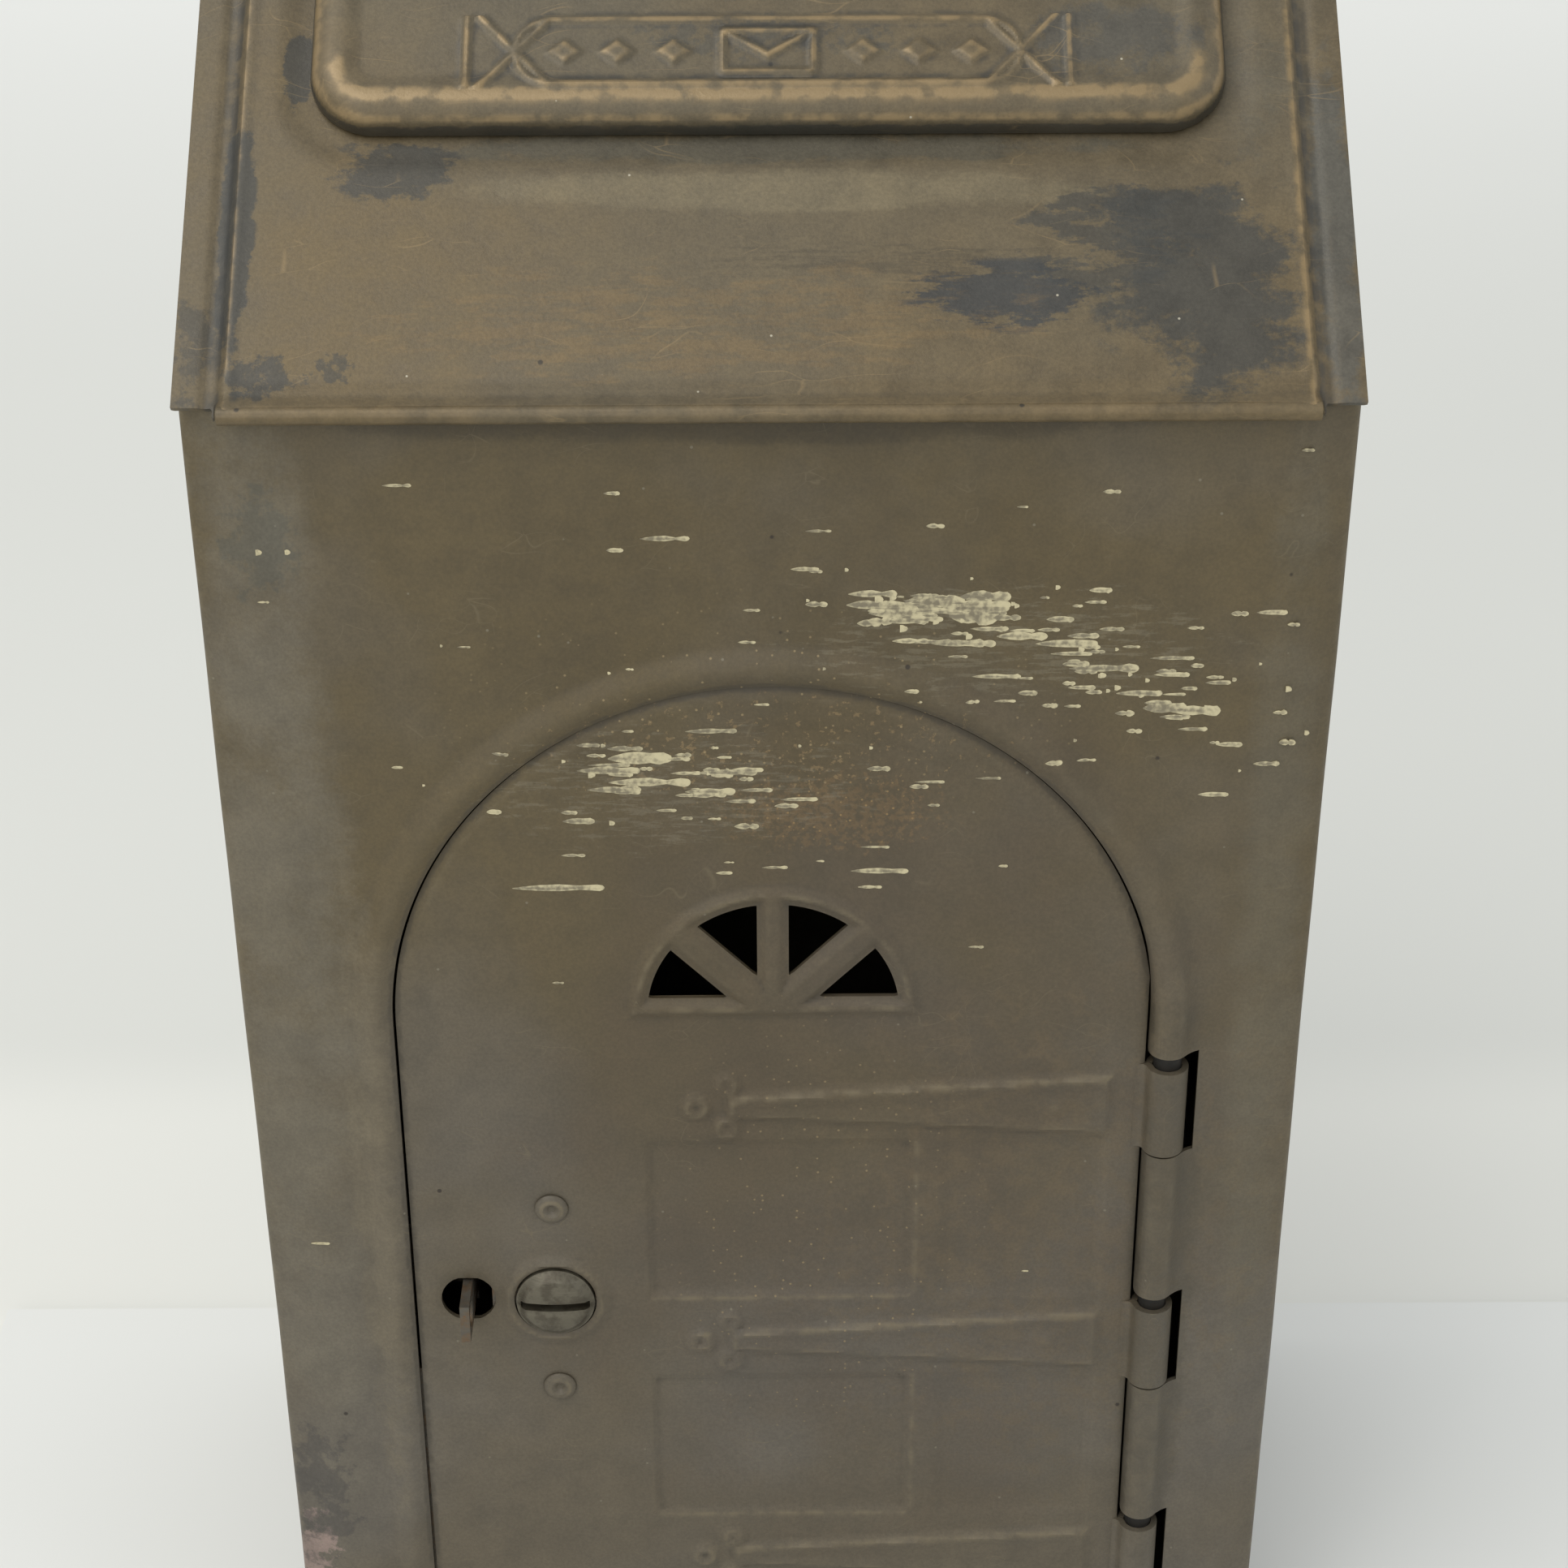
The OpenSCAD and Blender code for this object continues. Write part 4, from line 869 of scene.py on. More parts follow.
# Dried paint, thrown from the left: single drops (x, z, head, tail), and clusters of them
splashes = {
    "front": {
        "seed": 11,
        "drops": [(-72.5, 71, 0.62, 0), (-68.4, 71, 0.55, 0), (69.2, -70, 0.8, 0), (66.8, 31, 0.5, 4),
                  (26, 62.5, 1.7, 7), (30.5, 60.5, 2.0, 5), (22, 61, 1.3, 8), (33, 63.5, 1.2, 6),
                  (59, 45.5, 1.3, 5), (64, 45, 1.2, 6), (52, 52, 1.0, 9), (46, 56, 0.9, 8)],
        "clusters": [
            {"at": (40, 55), "spread": (22, 7.5), "lean": -0.28, "count": 84, "size": 0.62},
            {"at": (26, 60), "spread": (7, 2.2), "lean": -0.1, "count": 30, "size": 0.95},
            {"at": (62, 46), "spread": (13, 3.0), "lean": -0.2, "count": 30, "size": 0.75},
            {"at": (-20, 46), "spread": (26, 9), "lean": 0.1, "count": 20, "size": 0.4},
            {"at": (0, 60), "spread": (78, 40), "lean": 0.0, "count": 16, "size": 0.45},
        ],
    },
    "door": {
        "seed": 23,
        "drops": [(-26, 15.5, 0.75, 13), (19.7, 18, 0.6, 8), (21, 43.5, 0.8, 9), (-16, 37.5, 1.3, 8),
                  (-13, 33.5, 1.0, 11), (-3, 35, 0.8, 8), (-28, 38, 0.9, 5), (-27, 27, 0.7, 4)],
        "clusters": [
            {"at": (-16, 35), "spread": (17, 4.6), "lean": -0.05, "count": 40, "size": 0.6},
            {"at": (-12, 34), "spread": (8, 2.2), "lean": -0.2, "count": 12, "size": 0.95},
            {"at": (-4, 30), "spread": (28, 12), "lean": 0.0, "count": 22, "size": 0.4},
            {"at": (0, -60), "spread": (40, 60), "lean": 0.0, "count": 12, "size": 0.35},
        ],
    },
}


def splashParts(spec, height, allowed, finish):
    rng = np.random.default_rng(spec["seed"])
    parts = []
    thrown = list(spec["drops"])
    for cluster in spec["clusters"]:
        spreadX, spreadZ = cluster["spread"]
        for k in range(cluster["count"]):
            along, across = rng.normal(0, 1, 2)
            x = cluster["at"][0] + spreadX * along
            z = cluster["at"][1] + spreadZ * across + cluster["lean"] * spreadX * along
            head = cluster["size"] * rng.uniform(0.45, 1.0)
            stretched = rng.choice([0.0, 4.0, 7.0, 11.0], p=[0.2, 0.3, 0.33, 0.17])
            thrown.append((x, z, head, head * stretched * rng.uniform(0.7, 1.2)))
    for x, z, head, tail in thrown:
        if not (allowed(x + head, z) and allowed(x - tail, z)):
            continue
        turns = np.linspace(-1.9, 1.9, 9)
        ring = [(x + head * math.cos(a) * 1.1,
                 z + head * math.sin(a) * rng.uniform(0.6, 0.85)) for a in turns]
        thin = [0.0] * len(ring)
        if tail > 0:
            neck, belly = rng.uniform(0.35, 0.8), rng.uniform(0.6, 0.95)
            upper = [(0.22, neck), (0.45, belly), (0.68, 0.85 * belly), (0.88, 0.45 * belly), (1.0, 0.08)]
            ring += [(x - tail * share, z + head * width) for share, width in upper]
            ring += [(x - tail * share, z - head * width * 0.8) for share, width in upper[::-1]]
            thin += [0.2, 0.1, 0.2, 0.4, 0.7, 0.7, 0.4, 0.2, 0.1, 0.2]
        ring = np.array(ring)
        count = len(ring)
        flat = np.vstack([ring, [[x - 0.35 * tail, z]]])
        out = height(flat[:, 0], flat[:, 1])
        top = out + np.array([0.04] * count + [0.1])
        points = np.vstack([onFront(flat[:, 0], flat[:, 1], top),
                            onFront(flat[:, 0], flat[:, 1], out - 0.25)])
        faces = []
        for m in range(count):
            n = (m + 1) % count
            faces += [[m, n, count], [n + count + 1, m + count + 1, 2 * count + 1],
                      [n, m, m + count + 1, n + count + 1]]
        thin = np.array(thin + [0.75 if tail > 0 else 0.2])
        parts.append({"points": points, "faces": faces, "ridge": np.zeros(2 * count + 2),
                      "thin": np.tile(np.clip(thin + rng.uniform(-0.1, 0.35), 0, 1), 2), "finish": finish})
    return parts


def onFrontSheet(x, z):
    inOpening = archDepth(x, z, opening["arch"] + opening["gap"]) > -0.5
    nearHinge = x > 55 and z < opening["springZ"]
    return abs(x) < 79 and -140 < z < 88 and not inOpening and not nearHinge


def archDepth(x, z, radius):
    up = z - opening["springZ"]
    side = np.where(up > 0, radius - np.hypot(x, up), radius - np.abs(x))
    return np.minimum(side, z - opening["footZ"] + radius - opening["arch"])


shell = pressed(frontPattern(), wallHeight, onWalls, box["sheet"], creases=wallCreases)
shellParts = [shell] + barrels() + splashParts(splashes["front"], wallHeight, onFrontSheet, 1)
makePiece("pressed_front_shell", shellParts, [finishes["body"], finishes["splash"]],
          "box", ["front_shell"])


# Door
door = {
    "sheet": 0.8,
    "fieldInset": 5.2,
    "fieldDepth": 0.35,
    "fanCentre": opening["springZ"] + 2,
    "fanRadius": 19.3,
    "fanSill": 2.8,
    "spoke": 4.8,
    "slant": 5.8,
    "surround": 22.9,
    "strapRise": 0.75,
    "strapRoot": 52.9,
    "lobes": [(-12.2, 0, 2.8), (-7.4, 4.0, 2.6), (-7.4, -4.0, 2.8)],
    "panelDepth": 0.58,
    "panels": [(-20.3, 22.0), (26.5, 51.5)],
    "panelRows": [(-61.6, -31.0), (-107.6, -77.9), (-133.5, -122.5)],
    "stapleX": -49.6,
    "stapleHole": (4.4, 4.1),
    "plugHole": 6.65,
    "collar": 9.2,
    "rivetDz": 36,
    "weldX": 44,
}


def fanHoles(x, z):
    up = z - door["fanCentre"]
    slanted = np.minimum(np.abs(x - up), np.abs(x + up)) / math.sqrt(2) - door["slant"] / 2
    ringed = np.minimum(door["fanRadius"] - np.hypot(x, up), up - door["fanSill"])
    return np.minimum(np.minimum(ringed, np.abs(x) - door["spoke"] / 2), slanted)


def stapleHole(x, z):
    dx, dz = x - door["stapleX"], z - plugPlace[2]
    return np.minimum(door["stapleHole"][0] - np.hypot(dx, dz), door["stapleHole"][1] - np.abs(dz))


def doorDepth(x, z):
    depth = np.minimum(archDepth(x, z, opening["arch"]), opening["edgeX"] - x)
    depth = np.minimum(depth, -fanHoles(x, z))
    depth = np.minimum(depth, -stapleHole(x, z))
    return np.minimum(depth, np.hypot(x - plugPlace[0], z - plugPlace[2]) - door["plugHole"])


def strapHalf(x):
    return 2.7 + (x + 6) / (door["strapRoot"] + 6) * 3.6


def strapDepth(x, z):  # a strap tapers from the hinge and ends in three round lobes
    best = np.full(np.shape(x), -50.0)
    for rowZ in knuckleZs:
        up = z - rowZ
        bar = np.minimum(np.minimum(strapHalf(x) - np.abs(up), door["strapRoot"] - x), x + 8)
        for lobeX, lobeZ, radius in door["lobes"]:
            bar = np.maximum(bar, radius - np.hypot(x - lobeX, up - lobeZ))
        best = np.maximum(best, bar)
    return best


def doorHeight(x, z):
    inset = archDepth(x, z, opening["arch"])
    out = -(0.3 + 0.3 * soft((z - opening["springZ"]) / 20)) * (1 - soft(inset / 1.5))
    towardHinge = soft((x + 26) / 40)
    field = soft((inset - door["fieldInset"]) / 1.7) * towardHinge * soft((z + 146) / 12)
    out = out - door["fieldDepth"] * field
    up = z - door["fanCentre"]
    surround = np.minimum(door["surround"] - np.hypot(x, up), up + 1.2)
    out = out + 0.85 * soft(surround / 2.2)
    out = out - 0.75 * soft((fanHoles(x, z) + 1.9) / 1.9) * (surround > 0)
    strap = strapDepth(x, z)
    out = out + door["strapRise"] * soft(strap / 1.5) - 0.3 * soft((strap - 1.6) / 1.8)
    for rowZ in knuckleZs:
        for lobeX, lobeZ, radius in door["lobes"]:
            out = out - 0.45 * hump(np.hypot(x - lobeX, z - rowZ - lobeZ), 1.2)
    for k, columns in enumerate(door["panels"]):
        for rows in door["panelRows"]:
            depth = blockDepth(x, z, columns, rows, 1.2)
            out = out - door["panelDepth"] * (1 - 0.45 * k) * soft((depth + 0.4) / 1.5)
    fromPlug = np.hypot(x - plugPlace[0], z - plugPlace[2])
    out = out + 0.8 * soft((door["collar"] - fromPlug) / 1.9) - 0.35 * soft((7.3 - fromPlug) / 0.7)
    for side in (-1, 1):
        fromRivet = np.hypot(x - plugPlace[0], z - plugPlace[2] - side * door["rivetDz"] / 2)
        out = out - 0.4 * hump(fromRivet, 3.6)
    for rowZ in knuckleZs[:2]:
        out = out + 0.5 * hump(np.hypot(x - door["weldX"], z - rowZ), 1.7)
    out = out - 0.3 * soft((stapleHole(x, z) + 1.1) / 1.1)
    return out + dents(x, z, 15, 0.12, 1.9)


def topKnuckle():
    outline = rolled((hinge["x"], 0.0), hinge["knuckle"], hinge["wall"], opening["edgeX"] - 1.4,
                     math.radians(-168))
    half = hinge["height"] / 2
    return swept(outline, upright, [hinge["topZ"] - half, hinge["topZ"] + half])


doorGrid = clippedGrid(gridLines((-58.2, -24, 0.8), (-24, 24, 0.5), (24, 58, 0.8)),
                       gridLines((-137.4, -10, 0.9), (-10, 14, 0.5), (14, 49.4, 0.8)), doorDepth)


def doorCreases(x, z):  # the straps and the wide panels are painted lighter along an edge, a painted highlight on the straps' upper edges and on the panels' lower and right walls that face the light; the door's rim is dirty
    inset = archDepth(x, z, opening["arch"])
    wearAndHighlight = 0.08 * hump(inset - 2.0, 0.7) - 0.5 * hump(inset, 0.8)
    for rowZ in knuckleZs:
        # painted highlight along each strap's upper edge, which faces the light
        onStrap = (x > -12) & (x < door["strapRoot"])
        wearAndHighlight = wearAndHighlight + 0.34 * hump(z - rowZ - strapHalf(x) + 0.7, 0.6) * onStrap
    left, right = door["panels"][0]
    # painted highlight on each recessed panel's lower wall and right wall, which face the light
    for rows in door["panelRows"]:
        wearAndHighlight = wearAndHighlight + 0.26 * hump(z - rows[0] + 0.5, 0.6) * ((x > left) & (x < right))
        wearAndHighlight = wearAndHighlight + 0.16 * hump(x - right - 0.6, 0.6) * ((z > rows[0]) & (z < rows[1]))
    return wearAndHighlight


doorSheet = pressed(doorGrid, doorHeight, onFront, door["sheet"], creases=doorCreases)


def onDoorSheet(x, z):
    return doorDepth(np.array(x), np.array(z)) > 1.2


# Geometry Nodes: rows and scattered rivets
def nodeTree(name, inputs):
    inputs = [("Geometry", "Geometry", None)] + inputs
    return newGroup(name, inputs, [("Geometry", "Geometry")], "GeometryNodeTree")


def finishTree(tree, instances, given, out):
    real = addStep(tree, "GeometryNodeRealizeInstances", {"Geometry": instances})
    done = addStep(tree, "GeometryNodeSetMaterial", {"Geometry": real.outputs[0],
                                                     "Material": given.outputs["Finish"]})
    tree.links.new(done.outputs[0], out.inputs["Geometry"])


def rowTree():  # copies of one mesh along a line
    inputs = [("Count", "Int", 3), ("Step", "Vector", (0, 0, -0.05)), ("Finish", "Material", None)]
    tree, given, out = nodeTree("rowOfKnuckles", inputs)
    line = addStep(tree, "GeometryNodeMeshLine", {"Count": given.outputs["Count"],
                                                  "Offset": given.outputs["Step"]})
    copies = addStep(tree, "GeometryNodeInstanceOnPoints", {"Points": line.outputs[0],
                                                            "Instance": given.outputs["Geometry"]})
    finishTree(tree, copies.outputs[0], given, out)
    return tree


def rivetTree():  # a dimpled head and a shank at every point, turned to face outwards
    inputs = [("Head Radius", "Float", 0.003), ("Head Height", "Float", 0.001),
              ("Shank Radius", "Float", 0.0014), ("Shank Length", "Float", 0.003),
              ("Dimple", "Float", 0.0004), ("Finish", "Material", None)]
    tree, given, out = nodeTree("rivetsOnPoints", inputs)
    ball = addStep(tree, "GeometryNodeMeshUVSphere", {"Segments": 28, "Rings": 18, "Radius": 1.0})
    size = addNode(tree, "CombineXYZ", {"X": given.outputs["Head Radius"], "Y": given.outputs["Head Radius"],
                                        "Z": given.outputs["Head Height"]})
    head = addStep(tree, "GeometryNodeTransform", {"Geometry": ball.outputs[0], "Scale": size.outputs[0]})
    position = addStep(tree, "GeometryNodeInputPosition")
    place = addNode(tree, "SeparateXYZ", {"Vector": position.outputs[0]})
    flatPlace = addNode(tree, "CombineXYZ", {"X": place.outputs["X"], "Y": place.outputs["Y"]})
    away = addNode(tree, "VectorMath", {0: flatPlace.outputs[0]}, operation="LENGTH").outputs["Value"]
    share = calc(tree, "DIVIDE", away, given.outputs["Head Radius"])
    sunk = calc(tree, "MULTIPLY", ramp(tree, share, 0.5, 0.1, 0.0, -1.0), given.outputs["Dimple"])
    onTop = calc(tree, "GREATER_THAN", place.outputs["Z"], 0.0)
    offset = addNode(tree, "CombineXYZ", {"Z": calc(tree, "MULTIPLY", sunk, onTop)})
    dimpled = addStep(tree, "GeometryNodeSetPosition", {"Geometry": head.outputs[0],
                                                        "Offset": offset.outputs[0]})
    fromRim = calc(tree, "ABSOLUTE", calc(tree, "SUBTRACT", share, 0.6))
    rubbed = addNode(tree, "MapRange", {"Value": fromRim, "From Min": 0.0, "From Max": 0.3,
                                        "To Min": 0.5, "To Max": -0.15})
    dimpled = addStep(tree, "GeometryNodeStoreNamedAttribute", {
        "Geometry": dimpled.outputs[0], "Name": "ridge", "Value": rubbed.outputs[0]})
    shank = addStep(tree, "GeometryNodeMeshCylinder", {
        "Vertices": 20, "Radius": given.outputs["Shank Radius"], "Depth": given.outputs["Shank Length"]})
    low = addNode(tree, "CombineXYZ", {"Z": calc(tree, "MULTIPLY", given.outputs["Shank Length"], -0.5)})
    lowered = addStep(tree, "GeometryNodeTransform", {"Geometry": shank.outputs["Mesh"],
                                                      "Translation": low.outputs[0]})
    both = addStep(tree, "GeometryNodeJoinGeometry")
    tree.links.new(dimpled.outputs[0], both.inputs[0])
    tree.links.new(lowered.outputs[0], both.inputs[0])
    facing = addStep(tree, "GeometryNodeInputNamedAttribute", {"Name": "facing"}, data_type="FLOAT_VECTOR")
    turn = addStep(tree, "FunctionNodeAlignRotationToVector", {"Vector": facing.outputs[0]}, axis="Z")
    copies = addStep(tree, "GeometryNodeInstanceOnPoints", {
        "Points": given.outputs["Geometry"], "Instance": both.outputs[0], "Rotation": turn.outputs[0]})
    finishTree(tree, copies.outputs[0], given, out)
    return tree


# runs a node tree on a mesh, and keeps the result as a plain mesh
def grown(name, mesh, tree, values, body, replaced):
    maker = bpy.data.objects.new(name + "_maker", mesh)
    bpy.context.scene.collection.objects.link(maker)
    modifier = maker.modifiers.new("grow", "NODES")
    modifier.node_group = tree
    for item in tree.interface.items_tree:
        if item.in_out == "INPUT" and item.name in values:
            modifier[item.identifier] = values[item.name]
    ready = maker.evaluated_get(bpy.context.evaluated_depsgraph_get())
    result = bpy.data.meshes.new_from_object(ready)
    maker.modifiers.remove(modifier)
    bpy.data.objects.remove(maker)
    result.name = name
    result.shade_smooth()
    result.set_sharp_from_angle(angle=sharpAngle)
    addPiece(name, result, body, replaced)


def pointMesh(name, places, facings):
    mesh = bpy.data.meshes.new(name)
    mesh.from_pydata([tuple(np.array(p) * mm) for p in places], [], [])
    stored = mesh.attributes.new("facing", "FLOAT_VECTOR", "POINT")
    stored.data.foreach_set("vector", np.array(facings, float).ravel())
    return mesh


def plainMesh(name, part):
    mesh = bpy.data.meshes.new(name)
    mesh.from_pydata((part["points"] * mm).tolist(), [], part["faces"])
    return mesh


rowMaker, rivetMaker = rowTree(), rivetTree()
makePiece("pressed_door", [doorSheet] + splashParts(splashes["door"], doorHeight, onDoorSheet, 1),
          [finishes["body"], finishes["splash"]], "door", ["door"])
grown("door_knuckles", plainMesh("knuckle", topKnuckle()), rowMaker,
      {"Count": hinge["count"], "Step": (0, 0, -hinge["pitch"] * mm), "Finish": finishes["body"]},
      "door", [])

lockRivets = {
    "Head Radius": 2.7 * mm,
    "Head Height": 0.75 * mm,
    "Shank Radius": 1.4 * mm,
    "Shank Length": 2.4 * mm,
    "Dimple": 0.7 * mm,
    "Finish": finishes["body"],
}
lockSpots = [(plugPlace[0], box["frontY"], plugPlace[2] + side * door["rivetDz"] / 2) for side in (-1, 1)]
grown("lock_rivet_heads", pointMesh("lockRivetSpots", lockSpots, [(0, -1, 0)] * 2), rivetMaker, lockRivets,
      "door", ["lock_rivets"])

sideRivets = {
    "Head Radius": 2.4 * mm,
    "Head Height": 1.0 * mm,
    "Shank Radius": 1.4 * mm,
    "Shank Length": 2.0 * mm,
    "Dimple": 0.0,
    "Finish": finishes["steel"],
}
sideRow = {"y": -5.8, "lowZ": -122, "pitch": 71.67, "count": 4}
sideSpots = [(side * box["halfWidth"], sideRow["y"], sideRow["lowZ"] + k * sideRow["pitch"])
             for side in (-1, 1) for k in range(sideRow["count"])]
sideFacings = [(side, 0, 0) for side in (-1, 1) for k in range(sideRow["count"])]
grown("side_rivet_heads", pointMesh("sideRivetSpots", sideSpots, sideFacings), rivetMaker, sideRivets,
      "box", ["back_rivets"])


# Hood
hood = {
    "half": 82.5,
    "fieldHalf": 75.3,
    "stripTop": 0.8,
    "fieldTop": 2.0,
    "eave": -2.2,
    "stripEave": -0.5,
    "hem": 1.3,
    "back": 127.3,
    "slotHalf": 58.5,
    "slotRows": (49.4, 92.4),
    "sheet": 0.8,
    "flangeHalf": 71.3,
    "flangeY": (-1.6, -0.8),
    "flangeHeight": 8,
    "flangeDrop": 3.2,
}
flap = {
    "half": 65.5,
    "low": 42.37,
    "end": 101.37,
    "hinge": 104.37,
    "rim": 2.55,
    "top": 6.3,
    "corner": 9.5,
    "axis": 4.51,
    "knuckle": 1.99,
    "bore": 1.16,
    "knuckleHalf": 30.0,
    "sheet": 0.8,
}


def hoodDepth(x, s):
    depth = np.minimum(hood["half"] - np.abs(x), hood["back"] - s)
    strip = np.maximum(hood["fieldHalf"] + 1.4 - np.abs(x), s - hood["stripEave"])
    depth = np.minimum(np.minimum(depth, s - hood["eave"]), strip)
    half, corner = hood["slotHalf"], flap["corner"] - 3
    return np.minimum(depth, -blockDepth(x, s, (-half, half), hood["slotRows"], corner))


def hoodHeight(x, s):
    a = np.abs(x)
    step = hood["fieldTop"] - hood["stripTop"] - 0.1
    out = hood["stripTop"] + step * soft((hood["fieldHalf"] + 1.1 - a) / 1.5)
    out = out + 0.1 * hump(a - 74.6, 0.8) - 0.3 * hump(a - 77.6, 0.9)
    around = blockDepth(x, s, (-flap["half"] - 5.5, flap["half"] + 5.5), (flap["low"] - 6.5, 140), 14)
    out = out - 0.55 * soft(around / 4.5)
    out = out + 0.9 * (1 - soft((s - hood["eave"]) / 3.2)) * (a < hood["fieldHalf"] + 1.2)
    out = out - 0.25 * hump(s - 3.2, 1.6) * (a < hood["fieldHalf"])
    flat = soft((hood["fieldHalf"] - a) / 12)
    return out - 0.12 * flat + dents(x, s, 17, 0.14, 0.4) * flat


def alongX(a, b, x):  # a roof section (up the slope, out) carried sideways
    return onRoof(x + 0 * a, a + 0 * x, b + 0 * x)


def ring(centre, radius):
    turns = np.linspace(0, 2 * math.pi, 28, endpoint=False)
    return [(centre[0] + radius * math.cos(a), centre[1] + radius * math.sin(a)) for a in turns]


def block(xs, ys, zs):
    points = np.array([(x, y, z) for x in xs for y in ys for z in zs], float)
    faces = [[0, 1, 3, 2], [4, 6, 7, 5], [0, 4, 5, 1], [2, 3, 7, 6], [0, 2, 6, 4], [1, 5, 7, 3]]
    return {"points": points, "faces": faces, "ridge": np.zeros(8)}


hoodGrid = clippedGrid(gridLines((-hood["half"], -68, 0.5), (-68, 68, 1.1), (68, hood["half"], 0.5)),
                       gridLines((hood["eave"], 5, 0.45), (5, hood["back"], 1.1)), hoodDepth)


def hoodCreases(x, s):  # the left edge of the field is less rubbed, and the eave is rubbed all along
    return -0.16 * (x < 0) * hump(np.abs(x) - 74.8, 1.4) + 0.1 * hump(s - hood["eave"], 0.8)


hoodSheet = pressed(hoodGrid, hoodHeight, onRoof, hood["sheet"], creases=hoodCreases)
hem = swept(ring((hood["eave"], hood["fieldTop"] - 0.4), hood["hem"]), alongX,
            [-hood["fieldHalf"] - 0.5, hood["fieldHalf"] + 0.5])
hem["ridge"] = np.full(len(hem["points"]), 0.12)
flangeTop = hoodHigh[2] - hood["flangeDrop"]
hoodFlange = block((-hood["flangeHalf"], hood["flangeHalf"]), hood["flangeY"],
                   (flangeTop - hood["flangeHeight"], flangeTop))
makePiece("pressed_hood", [hoodSheet, hem, hoodFlange], [finishes["hood"]], "box", ["hood"])


# Letter flap
emblem = {
    "centre": 53.6,
    "capsule": (36.0, 5.4),
    "tail": 43.0,
    "line": 0.95,
    "rise": 0.46,
    "letter": (6.5, 3.4),
    "lozenges": (13.5, 21.5, 29.0),
    "lozenge": 2.6,
}


def flapDepth(x, s):
    return blockDepth(x, s, (-flap["half"], flap["half"]), (flap["low"], 200), flap["corner"])


def flapPattern(x, s):
    return np.minimum(flapDepth(x, s), flap["end"] - s)


def lineLift(distance, width):
    return soft((width - np.abs(distance)) / width)


# a capsule with crossed ends, and in it an envelope between rows of lozenges
def emblemHeight(x, s):
    up = s - emblem["centre"]
    line = emblem["line"]
    halfX, halfS = emblem["capsule"]
    capsule = halfS - np.hypot(np.maximum(np.abs(x) - halfX + halfS, 0), up)
    lift = lineLift(capsule, line)
    a = np.abs(x) - halfX
    inTail = (a > -4.5) & (a < emblem["tail"] - halfX)
    cross = np.where(inTail, lineLift((np.abs(up) - np.abs(a) * 1.15) / 1.5, line), 0)
    bar = lineLift(a - emblem["tail"] + halfX, line)
    lift = np.maximum(lift, np.maximum(cross, bar) * (np.abs(up) < halfS + 0.6))
    letterX, letterS = emblem["letter"]
    letter = blockDepth(x, up, (-letterX, letterX), (-letterS, letterS), 0.4)
    lift = np.maximum(lift, lineLift(letter, line))
    fold = (up - letterS + (letterX - np.abs(x)) * 0.62) / 1.2
    lift = np.maximum(lift, np.where(letter > 0, lineLift(fold, line), 0))
    for centre in emblem["lozenges"]:
        lozenge = emblem["lozenge"] - np.abs(np.abs(x) - centre) * 0.8 - np.abs(up)
        lift = np.maximum(lift, soft(lozenge / 1.2))
    return emblem["rise"] * lift


def flapHeight(x, s):
    depth = np.maximum(flapDepth(x, s), 0)
    lip = 4.2
    rounded = np.sqrt(np.maximum(1 - (1 - np.minimum(depth / lip, 1)) ** 2, 0))
    out = flap["rim"] + (flap["top"] - 0.12 - flap["rim"]) * rounded
    out = out - 0.5 * soft((depth - lip - 0.4) / 3.2)
    out = out + emblemHeight(x, s) * soft((depth - 4.4) / 1.2)
    return out + dents(x, s, 14, 0.07, 2.2) * soft((depth - 6) / 5)


flapColumns = gridLines((-flap["half"], -55, 0.4), (-55, -44, 0.7), (-44, 44, 0.4), (44, 55, 0.7),
                        (55, flap["half"], 0.4))
flapRows = gridLines((flap["low"], 61, 0.36), (61, flap["end"], 1.0))


def flapCreases(x, s):  # the crest of the lip is painted lighter, rubbed paint with a painted highlight along it; its foot is darker
    depth = flapDepth(x, s)
    low = soft((flap["low"] + 12 - s) / 4)
    return low * (0.5 * hump(depth - 4.2, 1.0) - 0.16 * hump(depth - 1.2, 1.0))


flapSheet = pressed(clippedGrid(flapColumns, flapRows, flapPattern), flapHeight, onRoof, flap["sheet"],
                    creases=flapCreases)


def sideways(a, b, x):  # a roof section (up the slope, out) carried along the eave
    return onRoof(x + 0 * a, flap["hinge"] + a + 0 * x, flap["axis"] + b + 0 * x)


tubeEnds = (-flap["knuckleHalf"], flap["knuckleHalf"])
flapTube = tube(0.0, 0.0, flap["knuckle"], flap["bore"], *tubeEnds, sideways)
tongue = swept([(-3.6, 0.1), (0, 0.98), (0, 1.75), (-3.6, 0.9)], sideways, tubeEnds)
makePiece("pressed_letter_flap", [flapSheet, flapTube, tongue], [finishes["hood"]], "flap",
          ["letter_flap"])


# Lock plug
plug = {
    "radius": 6.35,
    "body": 5.6,
    "proud": 2.5,
    "seat": 0.65,
    "back": 8.2,
    "slot": (5.6, 0.85),
}


def plugDepth(x, z):
    dx, dz = x - plugPlace[0], z - plugPlace[2]
    slotX, slotZ = plug["slot"]
    slot = blockDepth(dx, dz, (-slotX, slotX), (-slotZ, slotZ), 0.3)
    return np.minimum(plug["radius"] - np.hypot(dx, dz), -slot)


def plugHeight(x, z):
    dx, dz = x - plugPlace[0], z - plugPlace[2]
    away = np.hypot(dx, dz)
    out = plug["proud"] - 0.8 * (away / plug["radius"]) ** 2
    out = out - 0.9 * (1 - soft((plug["radius"] - away) / 1.6))
    return out - 0.35 * hump(dz + plug["slot"][1], 0.9) + 0.12 * hump(dz - 2.4, 1.0)


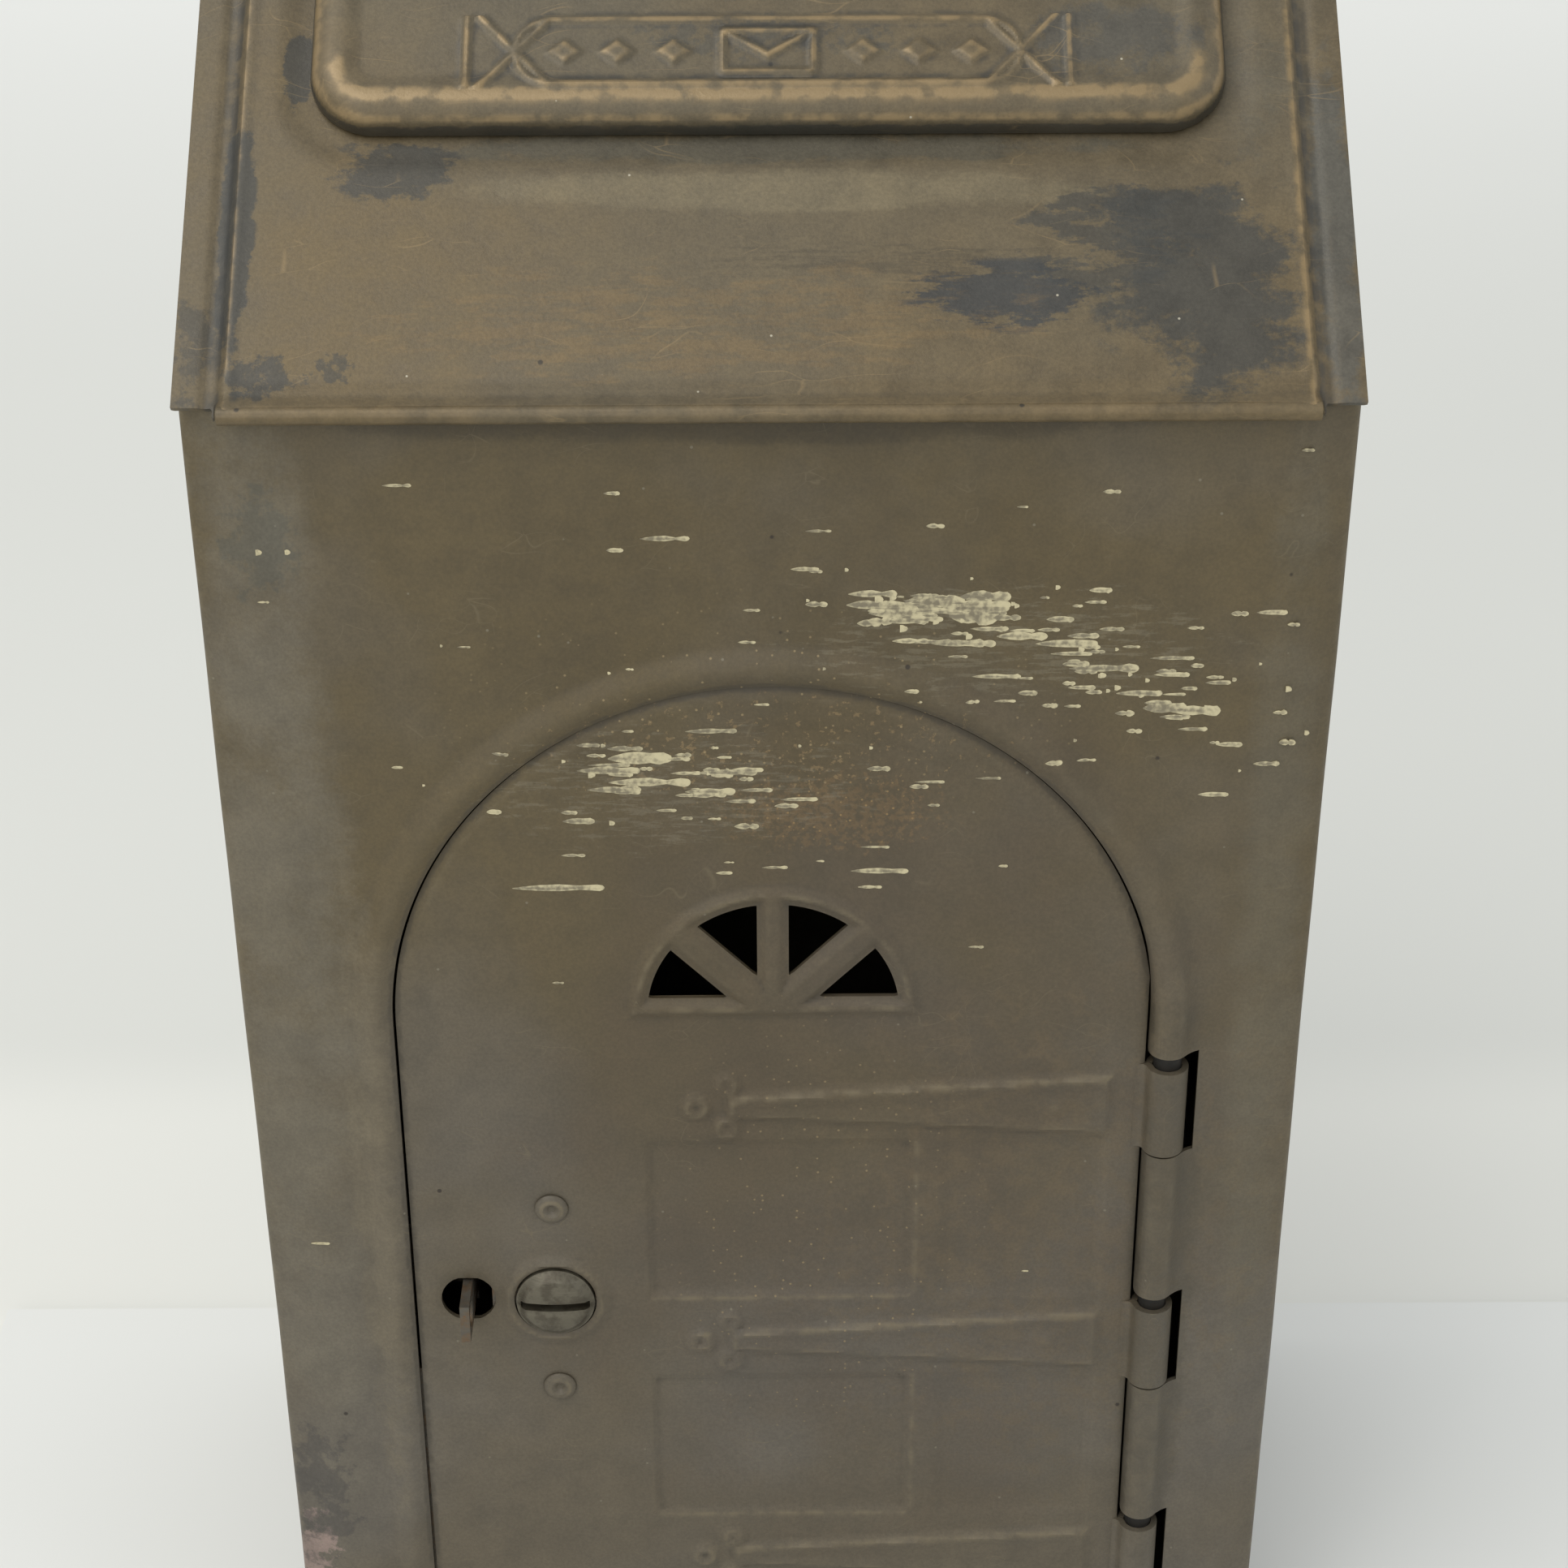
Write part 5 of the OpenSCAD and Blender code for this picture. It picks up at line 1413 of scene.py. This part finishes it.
def behindPlug(a, b, depth):
    return np.stack([plugPlace[0] + a, box["frontY"] + depth + 0 * a, plugPlace[2] + b], axis=-1)


plugReach = plug["radius"] + 0.2
plugLines = [gridLines((c - plugReach, c + plugReach, 0.17)) for c in (plugPlace[0], plugPlace[2])]
plugGrid = clippedGrid(*plugLines, plugDepth)
plugHead = pressed(plugGrid, plugHeight, onFront, back=-plug["seat"])
plugBody = flipped(turned([(0, plug["seat"]), (plug["body"], plug["seat"]), (plug["body"], plug["back"]),
                           (0, plug["back"])], behindPlug))
makePiece("lock_plug_face", [plugHead, plugBody], [finishes["plug"]], "plug", ["lock_plug"])


# The metal parts that keep their own shape
keptParts = {
    "body": ["back_plate", "bottom_pan"],
    "hood": ["flap_hinge_leaf"],
    "steel": ["flap_hinge_pin", "lock_bolt", "spring_post", "detent_spring"],
    "dark": ["door_stop", "padlock_staple", "lock_case", "lock_cover"],
    "oily": ["door_hinge_pin"],
    "plug": ["plug_driver", "cover_screws"],
}
for finish, names in keptParts.items():
    for name in names:
        for slot in frame["nodes"][name].material_slots:
            slot.material = finishes[finish]
print("kept parts finished")


# Floor, light and camera
stage = {
    "boardTop": box["footZ"],
    "boardThick": 3,
    "floorThick": 20,
    "boardX": (-158, 900),
    "boardY": (-1400, 11),
    "floorHalf": 5000,
    "floorPaint": paint(217, 217, 211),
    "boardPaint": paint(217, 218, 215),
    "cloudPaint": paint(210, 210, 204),
    # the floor's darker paint behind the board is painted shade, and its paler paint far off is painted
    # light
    "behindPaint": paint(198, 199, 194),
    "behind": (78, 118),
    "farPaint": paint(246, 246, 242),
    "far": (350, 1500),
}


def stageMaterial(name, colour):
    material, tree, shader, place = newMaterial(name, 0.7, 0.0)
    cloud = noise(tree, place, 0.004, 3.0)
    shade = blend(tree, ramp(tree, cloud, 0.3, 0.7, 0.0, 0.4), colour, stage["cloudPaint"])
    back = addNode(tree, "SeparateXYZ", {"Vector": place}).outputs["Y"]
    # painted shade: the floor darkens behind the board
    shade = blend(tree, ramp(tree, back, *stage["behind"], 0.0, 0.6), shade, stage["behindPaint"])
    # painted light: the floor brightens far off
    shade = blend(tree, ramp(tree, back, *stage["far"]), shade, stage["farPaint"])
    tree.links.new(shade, shader.inputs["Base Color"])
    return material


def stagePiece(name, part, material):
    mesh = plainMesh(name, part)
    mesh.materials.append(material)
    piece = bpy.data.objects.new(name, mesh)
    bpy.context.scene.collection.objects.link(piece)


half = stage["floorHalf"]
boardLow = stage["boardTop"] - stage["boardThick"]
stagePiece("pale_floor", block((-half, half), (-half, half), (boardLow - stage["floorThick"], boardLow)),
           stageMaterial("paleFloor", stage["floorPaint"]))
stagePiece("pale_board", block(stage["boardX"], stage["boardY"], (boardLow, stage["boardTop"])),
           stageMaterial("paleBoard", stage["boardPaint"]))

lamps = {
    "highLamp": {"at": (-0.75, -0.55, 1.5), "size": 1.3, "power": 17, "colour": (1.0, 0.98, 0.95)},
    "frontLamp": {"at": (-0.5, -1.7, 0.75), "size": 1.2, "power": 8, "colour": (1.0, 0.99, 0.97)},
    "rightLamp": {"at": (1.2, -0.5, 0.9), "size": 1.0, "power": 3, "colour": (0.95, 0.97, 1.0)},
}
lampAim = Vector((0, -0.05, 0))
for name, lamp in lamps.items():
    data = bpy.data.lights.new(name, "AREA")
    data.size = lamp["size"]
    data.energy = lamp["power"]
    data.color = lamp["colour"]
    light = bpy.data.objects.new(name, data)
    light.location = lamp["at"]
    light.rotation_euler = (lampAim - light.location).to_track_quat("-Z", "Y").to_euler()
    bpy.context.scene.collection.objects.link(light)

world = bpy.data.worlds.new("studio")
world.use_nodes = True
world.node_tree.nodes["Background"].inputs["Color"].default_value = (0.93, 0.95, 0.96, 1)
world.node_tree.nodes["Background"].inputs["Strength"].default_value = 0.83
bpy.context.scene.world = world
bpy.context.scene.view_settings.view_transform = "Standard"

view = {
    "at": (1.8, box["frontY"] - 407, box["eaveZ"] + 166.5),
    "down": 29.08,
    "roll": -0.27,
    "lens": 72.67,
    "sensor": 36,
}
lens = bpy.data.cameras.new("camera")
lens.lens = view["lens"]
lens.sensor_width = view["sensor"]
camera = bpy.data.objects.new("camera", lens)
tilt = Matrix.Rotation(math.radians(90 - view["down"]), 4, "X")
roll = Matrix.Rotation(math.radians(view["roll"]), 4, "Z")
camera.matrix_world = Matrix.Translation(Vector(view["at"]) * mm) @ (tilt @ roll)
bpy.context.scene.collection.objects.link(camera)
bpy.context.scene.camera = camera
print("stage, lamps and camera set")
